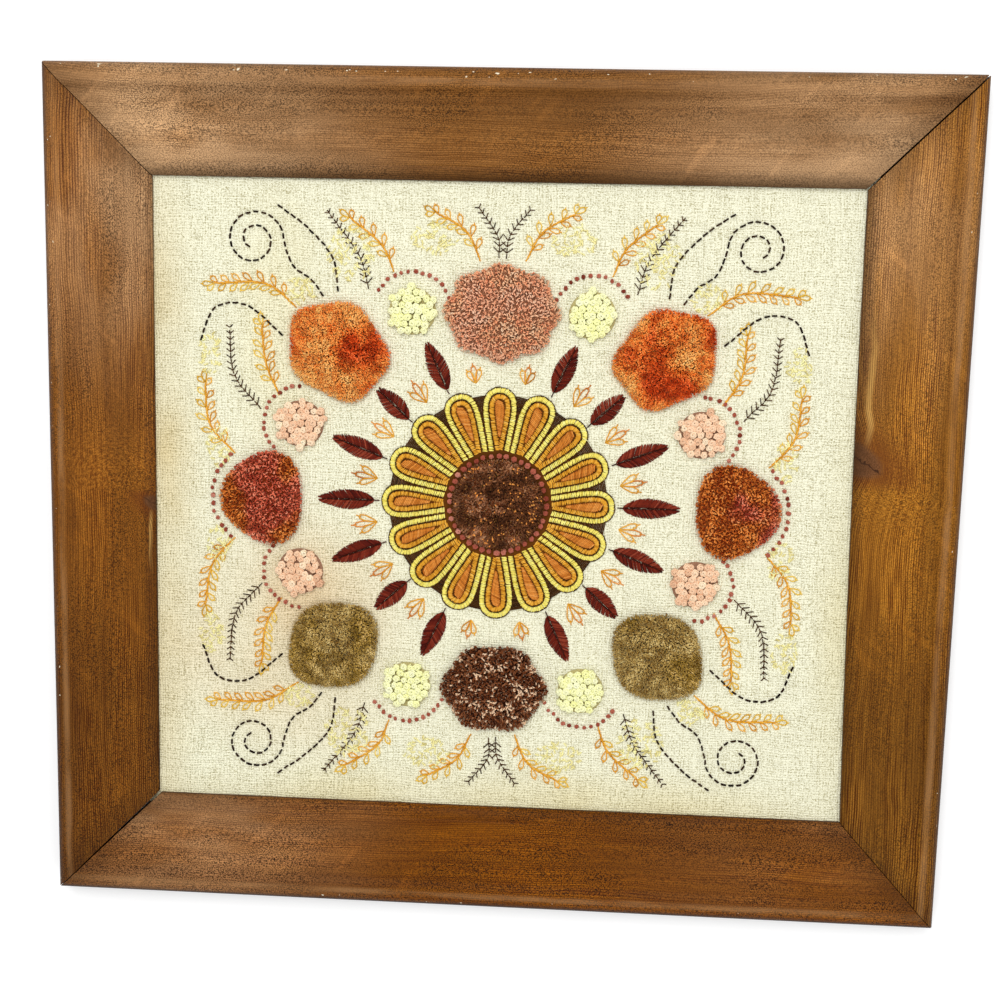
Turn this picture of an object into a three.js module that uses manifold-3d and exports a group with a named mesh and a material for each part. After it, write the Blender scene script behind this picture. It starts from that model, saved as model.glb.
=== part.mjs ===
// A framed crewel embroidery: linen worked with tufted wool, French knots and padded satin
// stitch, stretched over a plain board and held in the rabbet of a wide mitred pine frame.
// It lies on its back. Millimetres: +X across the picture, +Y up the picture, +Z out of its face.
import * as THREE from "three";
import { mergeVertices } from "three/addons/utils/BufferGeometryUtils.js";
import Module from "manifold-3d";

const wasm = await Module();
wasm.setup();

// ---- driving dimensions ----
const FRAME_WIDTH = 508;
const FRAME_HEIGHT = 473;
const RAIL_WIDTH = 60; // across the moulding's face, outer edge to sight edge
const PLANED_WIDTH = 55; // the right rail's lower end, planed narrower
const CORNER_RADIUS = 1.8; // sanded upright edge at each corner of the frame
const GAP = 0.3; // between pieces that touch

// The moulding's section: u runs in from the outer edge, z up from the back.
const BACK_EASE = 0.5;
const SIDE_Z = 14; // top of the plain outer side
const CREST_U = 9;
const CREST_Z = 22;
const BEAD_END_U = 12.5; // where the rounded outer bead stops
const FACE_START_U = 16.5;
const FACE_START_Z = 20.2;
const FACE_END_U = 51.5;
const FACE_END_Z = 17.8;
const GROOVE_U = 52.5; // shallow line before the inner lip
const GROOVE_Z = 17.6;
const GROOVE_DEPTH = 0.12;
const LIP_TOP_U = 54;
const LIP_EDGE_Z = 14.4; // top of the upright sight edge
const RABBET_U = 52.5;
const RABBET_Z = 12.4;
const CURVE_STEPS = 9; // facets along each curve of the section
const PLANED_STEPS = 6; // lengths that the planed rail is divided into

// Where the section's soft curves pull towards, as [u, z].
const LIP_BEND = [59.4, 17];
const FACE_BEND = [35, 17.9];
const STEP_BEND = [14.7, 20.5];
const BEAD_BEND = [10.75, 22.6];

const LINEN_THICKNESS = 1.2;
const LINEN_TOP = RABBET_Z - GAP;
const LINEN_COLUMNS = 24;
const LINEN_ROWS = 20;
const TUCK = RAIL_WIDTH - RABBET_U - 1; // linen hidden under each rail's lip
const BOARD_THICKNESS = 3;
const STITCH_Z = LINEN_TOP + GAP; // raised stitching rests here

const OPENING_WIDTH = FRAME_WIDTH - 2 * RAIL_WIDTH;
const OPENING_HEIGHT = FRAME_HEIGHT - 2 * RAIL_WIDTH;

// How far each rail is cut back from a true mitre, square to the cut, first at the outer edge
// and then at the sight edge. "starts" is the rail that runs anticlockwise from the corner.
const MITRES = {
  lower_left: { ends: [0.2, 0.8], starts: [0.2, 0.8] },
  lower_right: { ends: [0.2, 0.2], starts: [0.2, 0.2] },
  upper_right: { ends: [0.15, 0.35], starts: [0.65, 0.75] },
  upper_left: { ends: [0.2, 0.2], starts: [0.2, 0.25] },
};

// Each rail starts at the corner in its quadrant (x, y), turned from the X axis, and runs
// anticlockwise to the next. startWidth is its own width there, if planed narrower, and
// endMeets the width of the rail it meets at its far end.
const RAILS = [
  {
    name: "rail_bottom", x: -1, y: -1, turn: 0, from: "lower_left", to: "lower_right",
    endMeets: PLANED_WIDTH,
  },
  {
    name: "rail_right", x: 1, y: -1, turn: 90, from: "lower_right", to: "upper_right",
    startWidth: PLANED_WIDTH,
  },
  { name: "rail_top", x: 1, y: 1, turn: 180, from: "upper_right", to: "upper_left" },
  { name: "rail_left", x: -1, y: 1, turn: 270, from: "upper_left", to: "lower_left" },
];

// Slack places where the stretched linen lifts a little: half length and half width along and
// across the pucker, which is turned from the X axis.
const PUCKERS = [
  { x: 176, y: -72, length: 30, width: 6, turn: 84, lift: 0.7 },
  { x: 160, y: -96, length: 22, width: 5, turn: 70, lift: 0.5 },
  { x: 178, y: 20, length: 34, width: 6, turn: 88, lift: 0.5 },
  { x: -176, y: -120, length: 26, width: 6, turn: 97, lift: 0.45 },
  { x: -120, y: -162, length: 36, width: 6, turn: 4, lift: 0.4 },
];

// Tufted flowers, on the picture's middle line or as a mirrored pair. lobes scallop the outline
// by lobeDepth, a share of its radius.
const TUFTED = [
  {
    name: "sunflower_disc", x: 0, y: 0, halfWidth: 23, halfHeight: 23, turn: 0,
    height: 7.5, lobes: 0, lobeDepth: 0, color: 0x4c2913,
  },
  {
    name: "dahlia_top", x: 0, y: 106, halfWidth: 32, halfHeight: 27, turn: 0,
    height: 7, lobes: 8, lobeDepth: 0.05, color: 0xbc845f,
  },
  {
    name: "dahlia_bottom", x: 0, y: -106, halfWidth: 30, halfHeight: 26, turn: 0,
    height: 7, lobes: 6, lobeDepth: 0.05, color: 0x5c3217,
  },
];
const TUFTED_PAIRS = [
  {
    name: "marigold", x: 92, y: 84, halfWidth: 30, halfHeight: 26, turn: 40,
    height: 8, lobes: 5, lobeDepth: 0.06, color: 0xb9591b,
  },
  {
    name: "moss", x: 92, y: -84, halfWidth: 28, halfHeight: 25, turn: -40,
    height: 8, lobes: 4, lobeDepth: 0.05, color: 0x85692b,
  },
  {
    name: "fig", x: 130, y: 0, halfWidth: 24, halfHeight: 27, turn: 0,
    height: 8, lobes: 3, lobeDepth: 0.08, color: 0x8f4416,
  },
];
const TUFT_EDGE = 2; // upright edge under a tufted dome
const TUFT_SEGMENTS = 24;
const TUFT_RINGS = 5;

// French-knot clusters, mirrored left and right and top and bottom.
const KNOT_CLUSTERS = [
  { name: "inner", x: 49.5, y: 106, radius: 15, color: 0xf9f8af },
  { name: "outer", x: 111.5, y: 42, radius: 15, color: 0xd7af8c },
];
const KNOT_HEIGHT = 3.5;
const KNOT_SEGMENTS = 16;
const KNOT_RINGS = 3;

const PETAL_COUNT = 16;
const PETAL_STEPS = 6; // facets along one petal's outline
const PETAL_TIP = 66; // radius to a petal's tip
const PETAL_VALLEY = 54; // radius to the notch between two petals
const PETAL_ROOT = 24.5; // inner edge of the ring, around the disc
const PETAL_HEIGHT = 1.8;
const PETAL_COLOR = 0xe5a832;

const stained_pine = new THREE.MeshStandardMaterial({ color: 0x8f5c24, roughness: 0.45, metalness: 0 });
const linen = new THREE.MeshStandardMaterial({ color: 0xebe5c6, roughness: 0.95, metalness: 0 });
const hardboard = new THREE.MeshStandardMaterial({ color: 0x7a5a38, roughness: 0.85, metalness: 0 });
const wool = (color) => new THREE.MeshStandardMaterial({ color, roughness: 1, metalness: 0 });

const part = new THREE.Group();

function addMesh(name, geometry, material) {
  const mesh = new THREE.Mesh(geometry, material);
  mesh.name = name;
  part.add(mesh);
  return mesh;
}

// ---- manifold-3d, for joins and cuts ----

function toManifold(geometry) {
  const bare = geometry.clone();
  bare.deleteAttribute("normal");
  bare.deleteAttribute("uv");
  const merged = mergeVertices(bare, 1e-4);
  return new wasm.Manifold(new wasm.Mesh({
    numProp: 3,
    vertProperties: new Float32Array(merged.attributes.position.array),
    triVerts: new Uint32Array(merged.index.array),
  }));
}

function fromManifold(solid) {
  const mesh = solid.getMesh();
  const geometry = new THREE.BufferGeometry();
  geometry.setAttribute("position", new THREE.BufferAttribute(mesh.vertProperties, 3));
  geometry.setIndex(new THREE.BufferAttribute(mesh.triVerts, 1));
  return geometry;
}

// ---- frame ----

function mouldingSection() {
  const section = new THREE.Shape();
  section.moveTo(BACK_EASE, 0);
  section.lineTo(RABBET_U, 0);
  section.lineTo(RABBET_U, RABBET_Z);
  section.lineTo(RAIL_WIDTH, RABBET_Z);
  section.lineTo(RAIL_WIDTH, LIP_EDGE_Z);
  section.quadraticCurveTo(...LIP_BEND, LIP_TOP_U, GROOVE_Z);
  section.lineTo(GROOVE_U, GROOVE_Z - GROOVE_DEPTH);
  section.lineTo(FACE_END_U, FACE_END_Z);
  section.quadraticCurveTo(...FACE_BEND, FACE_START_U, FACE_START_Z);
  section.quadraticCurveTo(...STEP_BEND, BEAD_END_U, CREST_Z);
  section.quadraticCurveTo(...BEAD_BEND, CREST_U, CREST_Z);
  section.absellipse(CREST_U, SIDE_Z, CREST_U, CREST_Z - SIDE_Z, Math.PI / 2, Math.PI, false, 0);
  section.lineTo(0, BACK_EASE);
  section.closePath();
  return section;
}

// How far along a rail its mitre lies at u across the face; neighbourWidth is the other rail's
// width where they meet.
function mitreCut(u, neighbourWidth, [outer, inner]) {
  const inward = u / RAIL_WIDTH;
  return inward * neighbourWidth + Math.SQRT2 * (outer + (inner - outer) * inward);
}

function railGeometry(rail) {
  const length = rail.turn % 180 === 0 ? FRAME_WIDTH : FRAME_HEIGHT;
  const { startWidth = RAIL_WIDTH, endMeets = RAIL_WIDTH } = rail;
  const steps = startWidth < RAIL_WIDTH ? PLANED_STEPS : 1;
  const geometry = new THREE.ExtrudeGeometry(mouldingSection(), {
    depth: 1, steps, bevelEnabled: false, curveSegments: CURVE_STEPS,
  });
  const position = geometry.attributes.position;
  for (let i = 0; i < position.count; i++) {
    const u = position.getX(i);
    const z = position.getY(i);
    const along = position.getZ(i); // 0 at the rail's start, 1 at its end
    const width = RAIL_WIDTH - (RAIL_WIDTH - startWidth) * (1 - along) ** 2;
    const start = mitreCut(u, RAIL_WIDTH, MITRES[rail.from].starts);
    const end = length - mitreCut(u, endMeets, MITRES[rail.to].ends);
    position.setXYZ(i, start + (end - start) * along, u * (width / RAIL_WIDTH), z);
  }
  geometry.rotateZ(THREE.MathUtils.degToRad(rail.turn));
  geometry.translate((rail.x * FRAME_WIDTH) / 2, (rail.y * FRAME_HEIGHT) / 2, 0);
  return geometry;
}

function roundedSlab() {
  const halfWidth = FRAME_WIDTH / 2;
  const halfHeight = FRAME_HEIGHT / 2;
  const r = CORNER_RADIUS;
  const outline = new THREE.Shape();
  outline.absarc(halfWidth - r, halfHeight - r, r, 0, Math.PI / 2, false);
  outline.absarc(-halfWidth + r, halfHeight - r, r, Math.PI / 2, Math.PI, false);
  outline.absarc(-halfWidth + r, -halfHeight + r, r, Math.PI, Math.PI * 1.5, false);
  outline.absarc(halfWidth - r, -halfHeight + r, r, Math.PI * 1.5, Math.PI * 2, false);
  const depth = 2 * CREST_Z;
  const slab = new THREE.ExtrudeGeometry(outline, { depth, bevelEnabled: false, curveSegments: 4 });
  slab.translate(0, 0, -CREST_Z / 2);
  return slab;
}

const corners = toManifold(roundedSlab());
for (const rail of RAILS) {
  addMesh(rail.name, fromManifold(toManifold(railGeometry(rail)).intersect(corners)), stained_pine);
}

// ---- linen and board ----

function puckerLift(x, y) {
  let lift = 0;
  for (const pucker of PUCKERS) {
    const turn = THREE.MathUtils.degToRad(pucker.turn);
    const along = (x - pucker.x) * Math.cos(turn) + (y - pucker.y) * Math.sin(turn);
    const across = (y - pucker.y) * Math.cos(turn) - (x - pucker.x) * Math.sin(turn);
    lift += pucker.lift * Math.exp(-((along / pucker.length) ** 2) - (across / pucker.width) ** 2);
  }
  const toEdge = Math.min(OPENING_WIDTH / 2 - Math.abs(x), OPENING_HEIGHT / 2 - Math.abs(y));
  return lift * THREE.MathUtils.smoothstep(toEdge, 2, 14);
}

function linenGeometry() {
  const width = OPENING_WIDTH + 2 * TUCK;
  const height = OPENING_HEIGHT + 2 * TUCK;
  const geometry = new THREE.BoxGeometry(width, height, LINEN_THICKNESS, LINEN_COLUMNS, LINEN_ROWS, 1);
  const position = geometry.attributes.position;
  for (let i = 0; i < position.count; i++) {
    position.setZ(i, position.getZ(i) + puckerLift(position.getX(i), position.getY(i)));
  }
  geometry.translate(0, 0, LINEN_TOP - LINEN_THICKNESS / 2);
  return geometry;
}

function boardGeometry() {
  const margin = 2 * (RABBET_U + GAP);
  const geometry = new THREE.BoxGeometry(FRAME_WIDTH - margin, FRAME_HEIGHT - margin, BOARD_THICKNESS);
  geometry.translate(0, 0, LINEN_TOP - LINEN_THICKNESS - GAP - BOARD_THICKNESS / 2);
  return geometry;
}

addMesh("linen_ground", linenGeometry(), linen);
addMesh("backing_board", boardGeometry(), hardboard);

// ---- raised stitching ----

// A dome on a short upright edge, with an oval outline that may be scalloped.
function domeGeometry(dome) {
  const section = [new THREE.Vector2(0, 0), new THREE.Vector2(1, 0), new THREE.Vector2(1, dome.edge)];
  for (let ring = 1; ring < dome.rings; ring++) {
    const rise = (ring / dome.rings) * (Math.PI / 2);
    const z = dome.edge + (dome.height - dome.edge) * Math.sin(rise);
    section.push(new THREE.Vector2(Math.cos(rise), z));
  }
  section.push(new THREE.Vector2(0, dome.height));
  const geometry = new THREE.LatheGeometry(section, dome.segments);
  geometry.rotateX(Math.PI / 2);
  const position = geometry.attributes.position;
  for (let i = 0; i < position.count; i++) {
    const angle = Math.atan2(position.getY(i), position.getX(i));
    const lobe = 1 + dome.lobeDepth * Math.cos(dome.lobes * angle);
    const x = position.getX(i) * dome.halfWidth * lobe;
    const y = position.getY(i) * dome.halfHeight * lobe;
    position.setXY(i, x, y);
  }
  geometry.rotateZ(THREE.MathUtils.degToRad(dome.turn));
  geometry.translate(dome.x, dome.y, STITCH_Z);
  return geometry;
}

// A flat padded ring whose outer edge follows the petals.
function petalRingGeometry() {
  const section = [
    new THREE.Vector2(PETAL_ROOT, 0),
    new THREE.Vector2(PETAL_TIP, 0),
    new THREE.Vector2(PETAL_TIP, PETAL_HEIGHT / 2),
    new THREE.Vector2(PETAL_TIP - PETAL_HEIGHT, PETAL_HEIGHT),
    new THREE.Vector2(PETAL_ROOT, PETAL_HEIGHT),
    new THREE.Vector2(PETAL_ROOT, 0),
  ];
  const geometry = new THREE.LatheGeometry(section, PETAL_COUNT * PETAL_STEPS);
  geometry.rotateX(Math.PI / 2);
  const position = geometry.attributes.position;
  for (let i = 0; i < position.count; i++) {
    const angle = Math.atan2(position.getY(i), position.getX(i));
    const radius = Math.hypot(position.getX(i), position.getY(i));
    const swell = Math.sqrt(Math.abs(Math.cos((PETAL_COUNT * angle) / 2)));
    const reach = PETAL_VALLEY + (PETAL_TIP - PETAL_VALLEY) * swell;
    const out = PETAL_ROOT + ((radius - PETAL_ROOT) * (reach - PETAL_ROOT)) / (PETAL_TIP - PETAL_ROOT);
    position.setXY(i, out * Math.cos(angle), out * Math.sin(angle));
  }
  geometry.translate(0, 0, STITCH_Z);
  return geometry;
}

function addTufted(name, flower) {
  const dome = { ...flower, edge: TUFT_EDGE, segments: TUFT_SEGMENTS, rings: TUFT_RINGS };
  addMesh(name, domeGeometry(dome), wool(flower.color));
}

for (const flower of TUFTED) {
  addTufted(flower.name, flower);
}
for (const flower of TUFTED_PAIRS) {
  addTufted(`${flower.name}_right`, flower);
  addTufted(`${flower.name}_left`, { ...flower, x: -flower.x, turn: 180 - flower.turn });
}

addMesh("sunflower_petals", petalRingGeometry(), wool(PETAL_COLOR));

for (const cluster of KNOT_CLUSTERS) {
  for (const [row, up] of [["upper", 1], ["lower", -1]]) {
    for (const [column, side] of [["left", -1], ["right", 1]]) {
      const dome = {
        x: side * cluster.x, y: up * cluster.y, halfWidth: cluster.radius, halfHeight: cluster.radius,
        turn: 0, lobes: 0, lobeDepth: 0, height: KNOT_HEIGHT, edge: KNOT_HEIGHT / 2,
        segments: KNOT_SEGMENTS, rings: KNOT_RINGS,
      };
      addMesh(`knots_${cluster.name}_${row}_${column}`, domeGeometry(dome), wool(cluster.color));
    }
  }
}

export default part;
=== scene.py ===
import math

import bpy
import numpy as np
from mathutils import Matrix, Vector


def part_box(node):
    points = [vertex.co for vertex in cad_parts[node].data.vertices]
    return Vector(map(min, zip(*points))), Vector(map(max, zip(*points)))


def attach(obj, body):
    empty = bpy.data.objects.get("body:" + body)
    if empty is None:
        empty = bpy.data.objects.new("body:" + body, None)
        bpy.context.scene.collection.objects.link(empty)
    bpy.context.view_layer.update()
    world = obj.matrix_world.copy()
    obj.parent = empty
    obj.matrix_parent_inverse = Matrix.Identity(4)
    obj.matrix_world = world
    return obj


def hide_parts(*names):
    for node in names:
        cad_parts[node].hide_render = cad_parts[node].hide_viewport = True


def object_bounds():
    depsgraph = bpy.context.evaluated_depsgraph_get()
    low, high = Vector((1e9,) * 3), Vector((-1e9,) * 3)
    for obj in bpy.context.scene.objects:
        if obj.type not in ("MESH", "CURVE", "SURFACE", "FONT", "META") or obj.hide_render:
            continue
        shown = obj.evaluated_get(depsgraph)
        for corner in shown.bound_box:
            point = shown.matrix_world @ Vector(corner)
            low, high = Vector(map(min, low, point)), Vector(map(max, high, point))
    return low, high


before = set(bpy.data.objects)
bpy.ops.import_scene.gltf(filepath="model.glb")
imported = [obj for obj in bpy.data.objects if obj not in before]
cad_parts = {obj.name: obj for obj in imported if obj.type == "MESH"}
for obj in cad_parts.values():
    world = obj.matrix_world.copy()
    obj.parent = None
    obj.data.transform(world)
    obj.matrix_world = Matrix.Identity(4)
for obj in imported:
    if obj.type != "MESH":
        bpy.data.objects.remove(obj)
cad_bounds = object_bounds()

# A framed crewel embroidery lying on its back. Lengths are in millimetres, and MM makes metres
# of them.
MM = 0.001


def millimetres(corner):
    return np.array(corner, dtype=float) / MM


def node_box(node):
    low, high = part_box(node)
    return millimetres(low), millimetres(high)


# ---- sizes taken from the frame ----
FRAME_HIGH = millimetres(cad_bounds[1])
LINEN_LOW, LINEN_HIGH = node_box("linen_ground")
RAIL_LOW, RAIL_HIGH = node_box("rail_top")
OPENING_X, OPENING_Y = FRAME_HIGH[:2] - (RAIL_HIGH[1] - RAIL_LOW[1])
LINEN_THICKNESS = 1.2  # as in the part
LINEN_TOP = LINEN_LOW[2] + LINEN_THICKNESS

# Slack places in the linen, the same as in the part: centre, half length and half width, the
# angle from the X axis, and the lift.
PUCKERS = (
    (176, -72, 30, 6, 84, 0.7),
    (160, -96, 22, 5, 70, 0.5),
    (178, 20, 34, 6, 88, 0.5),
    (-176, -120, 26, 6, 97, 0.45),
    (-120, -162, 36, 6, 4, 0.4),
)
PUCKER_EDGE = (2, 14)  # the lift fades in between these distances from the opening's edge

# ---- wool colours, dark to light, as sRGB ----
DEEP_RUST = ("7c1c02", "9c3008", "b84818", "cc6030")
PALE_RUST = ("c46c24", "e09444", "f2b060", "fccc80")
RUST = ("8a2804", "b04a12", "c9661f", "dd883d", "ee9d4c", "f8b85e")
OLIVE = ("54390a", "6f5518", "85692b", "9a7e3f", "b0945a")
PALE_OLIVE = ("6a4a18", "866a34", "a08850", "b8a470")
BROWN = ("240f02", "3a1c0a", "4c2913", "5f3820", "7a4e30")
MAUVE = ("965e44", "ba7e5a", "d09a72", "e0b088", "f4cca8")
DUSTY_PINK = ("a86e50", "c88e6c", "dca686", "ecbe9e")
CHESTNUT = ("3c1604", "56290f", "6d3d20", "8c5f42", "b58c68")
BEIGE = ("b08a68", "c8a888", "dcc0a4")
OCHRE = ("6d2404", "8a4012", "a0541c", "b56a2c", "c98445")
ROSE_CORE = ("6b1c10", "86321f", "a04832", "b86248", "cf8064")
CREAM = ("d8d08a", "efe9a0", "f8f4ac", "fdfab6", "fffdc4")
PALE_ROSE = ("a87458", "c89878", "dbb290", "e8c6a6", "f4dabc")
ROSE = ("7e3626", "9c4a38", "b05c48", "c0705c", "d08a76")
LEMON = ("ecd654", "f8e466", "ffee74", "fff486", "fff89a")
STRAW = ("d09a24", "e0ae34", "ecbe44", "f4cc58", "f8d870")
GOLD = ("c27f1c", "d8942a", "e8a532", "f2b446", "f8c25c")
ORANGE = ("b0601e", "c87428", "dc8634", "e89644", "f2a656")
BURGUNDY = ("3e0e08", "561810", "6c2214", "82301e", "9a4630")
BLACK_BROWN = ("140a04", "201208", "2c1a0e", "3a2616", "4a3422")
DARK = ("2a1404", "3a2008", "45290e", "523418", "644226")
VEIN = ("2a0c06", "3c140a", "4e1c10")
SEED = ("d6c880", "e8da92", "f6eca4", "fff6ae", "fffcb8")


def linear(hex_colour):
    """A colour written as sRGB hex digits, as linear red, green and blue."""
    srgb = np.array([int(hex_colour[i : i + 2], 16) / 255 for i in (0, 2, 4)])
    return np.where(srgb <= 0.04045, srgb / 12.92, ((srgb + 0.055) / 1.055) ** 2.4)


def rgba(hex_colour):
    return (*linear(hex_colour), 1.0)


def dyed(palette, depth):
    """Colours along a palette, from 0, its darkest, to 1, its lightest."""
    stops = np.array([linear(colour) for colour in palette])
    at = np.clip(depth, 0, 1) * (len(palette) - 1)
    places = np.arange(len(palette))
    return np.stack([np.interp(at, places, stops[:, c]) for c in range(3)], axis=-1)


def shades(palette, rng, count, middle=0.5, spread=0.2):
    """A colour for each of count stitches, drawn at random around the middle of a palette."""
    return dyed(palette, rng.normal(middle, spread, count))


def cloud(x, y, size, seed):
    """Smooth lumps about size across, from 0 to 1."""
    lattice = np.random.default_rng(seed).random((256, 256))
    u, v = x / size + 128, y / size + 128
    i, j = np.floor(u).astype(int), np.floor(v).astype(int)
    f, g = u - i, v - j
    f, g = f * f * (3 - 2 * f), g * g * (3 - 2 * g)
    i, j = i % 255, j % 255
    lower = lattice[i, j] * (1 - f) + lattice[i + 1, j] * f
    upper = lattice[i, j + 1] * (1 - f) + lattice[i + 1, j + 1] * f
    return lower * (1 - g) + upper * g


def smoothstep(low, high, value):
    t = np.clip((value - low) / (high - low), 0, 1)
    return t * t * (3 - 2 * t)


def linen_height(x, y):
    """Height of the linen's face."""
    lift = np.zeros(np.shape(x))
    for pucker_x, pucker_y, length, width, turn, height in PUCKERS:
        c, s = math.cos(math.radians(turn)), math.sin(math.radians(turn))
        along = (x - pucker_x) * c + (y - pucker_y) * s
        across = (y - pucker_y) * c - (x - pucker_x) * s
        lift = lift + height * np.exp(-((along / length) ** 2) - (across / width) ** 2)
    to_edge = np.minimum(OPENING_X - np.abs(x), OPENING_Y - np.abs(y))
    return LINEN_TOP + lift * smoothstep(*PUCKER_EDGE, to_edge)


def on_linen(at, rise=0.0):
    """Points on the linen's face, lifted by rise."""
    x, y = at[..., 0], at[..., 1]
    return np.stack([x, y, linen_height(x, y) + rise], axis=-1)


# ---- meshes ----


def unit(vectors):
    return vectors / np.maximum(np.linalg.norm(vectors, axis=-1, keepdims=True), 1e-9)


def left_of(way):
    """Directions in the cloth's plane, turned a quarter to the left."""
    return np.stack([-way[..., 1], way[..., 0]], axis=-1)


def link(name, mesh, material):
    mesh.materials.append(material)
    piece = bpy.data.objects.new(name, mesh)
    bpy.context.scene.collection.objects.link(piece)
    return piece


NO_TRIANGLES = np.zeros((0, 3), int)


class Needlework:
    """Strands of wool gathered into one piece, in millimetres."""

    def __init__(self):
        self.points, self.colours = [], []
        self.quads, self.quad_uvs = [], []
        self.triangles = [NO_TRIANGLES]
        self.count = 0

    def add_points(self, points, colours):
        first = self.count
        self.points.append(points.reshape(-1, 3))
        self.colours.append(np.broadcast_to(colours, points.shape).reshape(-1, 3))
        self.count += self.points[-1].shape[0]
        return first

    def strands(self, centres, radii, colours, facing=(0, 0, 1), sides=4):
        """Round closed strands. centres is (strands, rings, 3), radii (strands, rings) and
        colours (strands, 3) or (strands, rings, 3). facing is a direction that no strand
        follows."""
        total, rings = centres.shape[:2]
        along = unit(np.gradient(centres, axis=1))
        facing = np.broadcast_to(np.asarray(facing, dtype=float), (total, 3))[:, None, :]
        across = unit(np.cross(np.broadcast_to(facing, along.shape), along))
        up = np.cross(along, across)
        angle = np.arange(sides) * (2 * math.pi / sides) + math.pi / sides
        ring = (
            np.cos(angle)[None, None, :, None] * across[:, :, None, :]
            + np.sin(angle)[None, None, :, None] * up[:, :, None, :]
        )
        radii = np.broadcast_to(radii, (total, rings))
        points = centres[:, :, None, :] + radii[:, :, None, None] * ring
        if colours.ndim == 2:
            colours = colours[:, None, :]
        first = self.add_points(points, colours[:, :, None, :])
        index = first + np.arange(total * rings * sides).reshape(total, rings, sides)

        around = np.roll(index, -1, axis=2)
        walls = np.stack([index[:, :-1], around[:, :-1], around[:, 1:], index[:, 1:]], axis=-1)
        travel = np.linalg.norm(np.diff(centres, axis=1), axis=2)
        travel = np.concatenate([np.zeros((total, 1)), np.cumsum(travel, axis=1)], axis=1)
        near = np.broadcast_to(travel[:, :-1, None], walls.shape[:3])
        far = np.broadcast_to(travel[:, 1:, None], walls.shape[:3])
        left = np.broadcast_to(np.arange(sides) / sides, walls.shape[:3])
        right = left + 1 / sides
        corners = ((left, near), (right, near), (right, far), (left, far))
        uvs = np.stack([np.stack(corner, -1) for corner in corners], axis=-2)
        self.quads.append(walls.reshape(-1, 4))
        self.quad_uvs.append(uvs.reshape(-1, 4, 2))
        for corner in range(1, sides - 2, 2):
            spread = [0, corner, corner + 1, corner + 2]
            ends = np.concatenate([index[:, 0][:, spread[::-1]], index[:, -1][:, spread]])
            self.quads.append(ends)
            self.quad_uvs.append(np.zeros((len(ends), 4, 2)))

    def fibres(self, roots, tips, width, colours):
        """Loose wool fibres, each a long thin closed spike."""
        along = unit(tips - roots)
        across = unit(np.cross(along, np.array([0.31, 0.87, 0.38])))
        up = np.cross(along, across)
        thirds = np.arange(3) * (2 * math.pi / 3)
        base = [roots + width * (math.cos(t) * across + math.sin(t) * up) for t in thirds]
        points = np.stack([*base, tips], axis=1)
        first = self.add_points(points, colours[:, None, :])
        index = first + np.arange(points.shape[0] * 4).reshape(-1, 4)
        for spread in ([0, 1, 3], [1, 2, 3], [2, 0, 3], [2, 1, 0]):
            self.triangles.append(index[:, spread])

    def solid(self, points, quads, triangles, colour):
        """A closed bed under the wool."""
        first = self.add_points(points, colour)
        self.quads.append(first + quads)
        self.quad_uvs.append(np.zeros((len(quads), 4, 2)))
        self.triangles.append(first + triangles)

    def piece(self, name, material, slot, stands_for=None):
        """Make the visible piece, which may stand for a solid of the part."""
        quads, triangles = np.concatenate(self.quads), np.concatenate(self.triangles)
        points = np.concatenate(self.points) * MM
        colours = np.concatenate(self.colours)
        mesh = bpy.data.meshes.new(name)
        mesh.vertices.add(len(points))
        mesh.vertices.foreach_set("co", points.ravel())
        corners = np.concatenate([quads.ravel(), triangles.ravel()])
        mesh.loops.add(len(corners))
        mesh.loops.foreach_set("vertex_index", corners.astype(np.int32))
        quad_starts = np.arange(len(quads)) * 4
        triangle_starts = len(quads) * 4 + np.arange(len(triangles)) * 3
        starts = np.concatenate([quad_starts, triangle_starts])
        mesh.polygons.add(len(starts))
        mesh.polygons.foreach_set("loop_start", starts.astype(np.int32))
        mesh.polygons.foreach_set("use_smooth", np.ones(len(starts), dtype=bool))
        strand_uv = mesh.uv_layers.new(name="strand")
        uvs = np.zeros((len(corners), 2))
        uvs[: len(quads) * 4] = np.concatenate(self.quad_uvs).reshape(-1, 2)
        strand_uv.data.foreach_set("uv", uvs.ravel())
        dye = mesh.attributes.new("dye", "FLOAT_COLOR", "POINT")
        dye.data.foreach_set("color", np.c_[colours, np.ones(len(colours))].ravel())
        mesh.update(calc_edges=True)
        mesh.validate()
        piece = link(name, mesh, material)
        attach(piece, "root")
        if stands_for:
            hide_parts(stands_for)


# ---- shader nodes ----


class Wire:
    """A value in a node tree. Sums with it are written as they are with a number."""

    def __init__(self, nodes, socket):
        self.nodes, self.socket = nodes, socket

    def __add__(self, other):
        return self.nodes.math("ADD", self, other)

    def __sub__(self, other):
        return self.nodes.math("SUBTRACT", self, other)

    def __mul__(self, other):
        return self.nodes.math("MULTIPLY", self, other)

    def __truediv__(self, other):
        return self.nodes.math("DIVIDE", self, other)

    def __pow__(self, power):
        return self.nodes.math("POWER", self, power)

    def __abs__(self):
        return self.nodes.math("ABSOLUTE", self)


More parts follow.
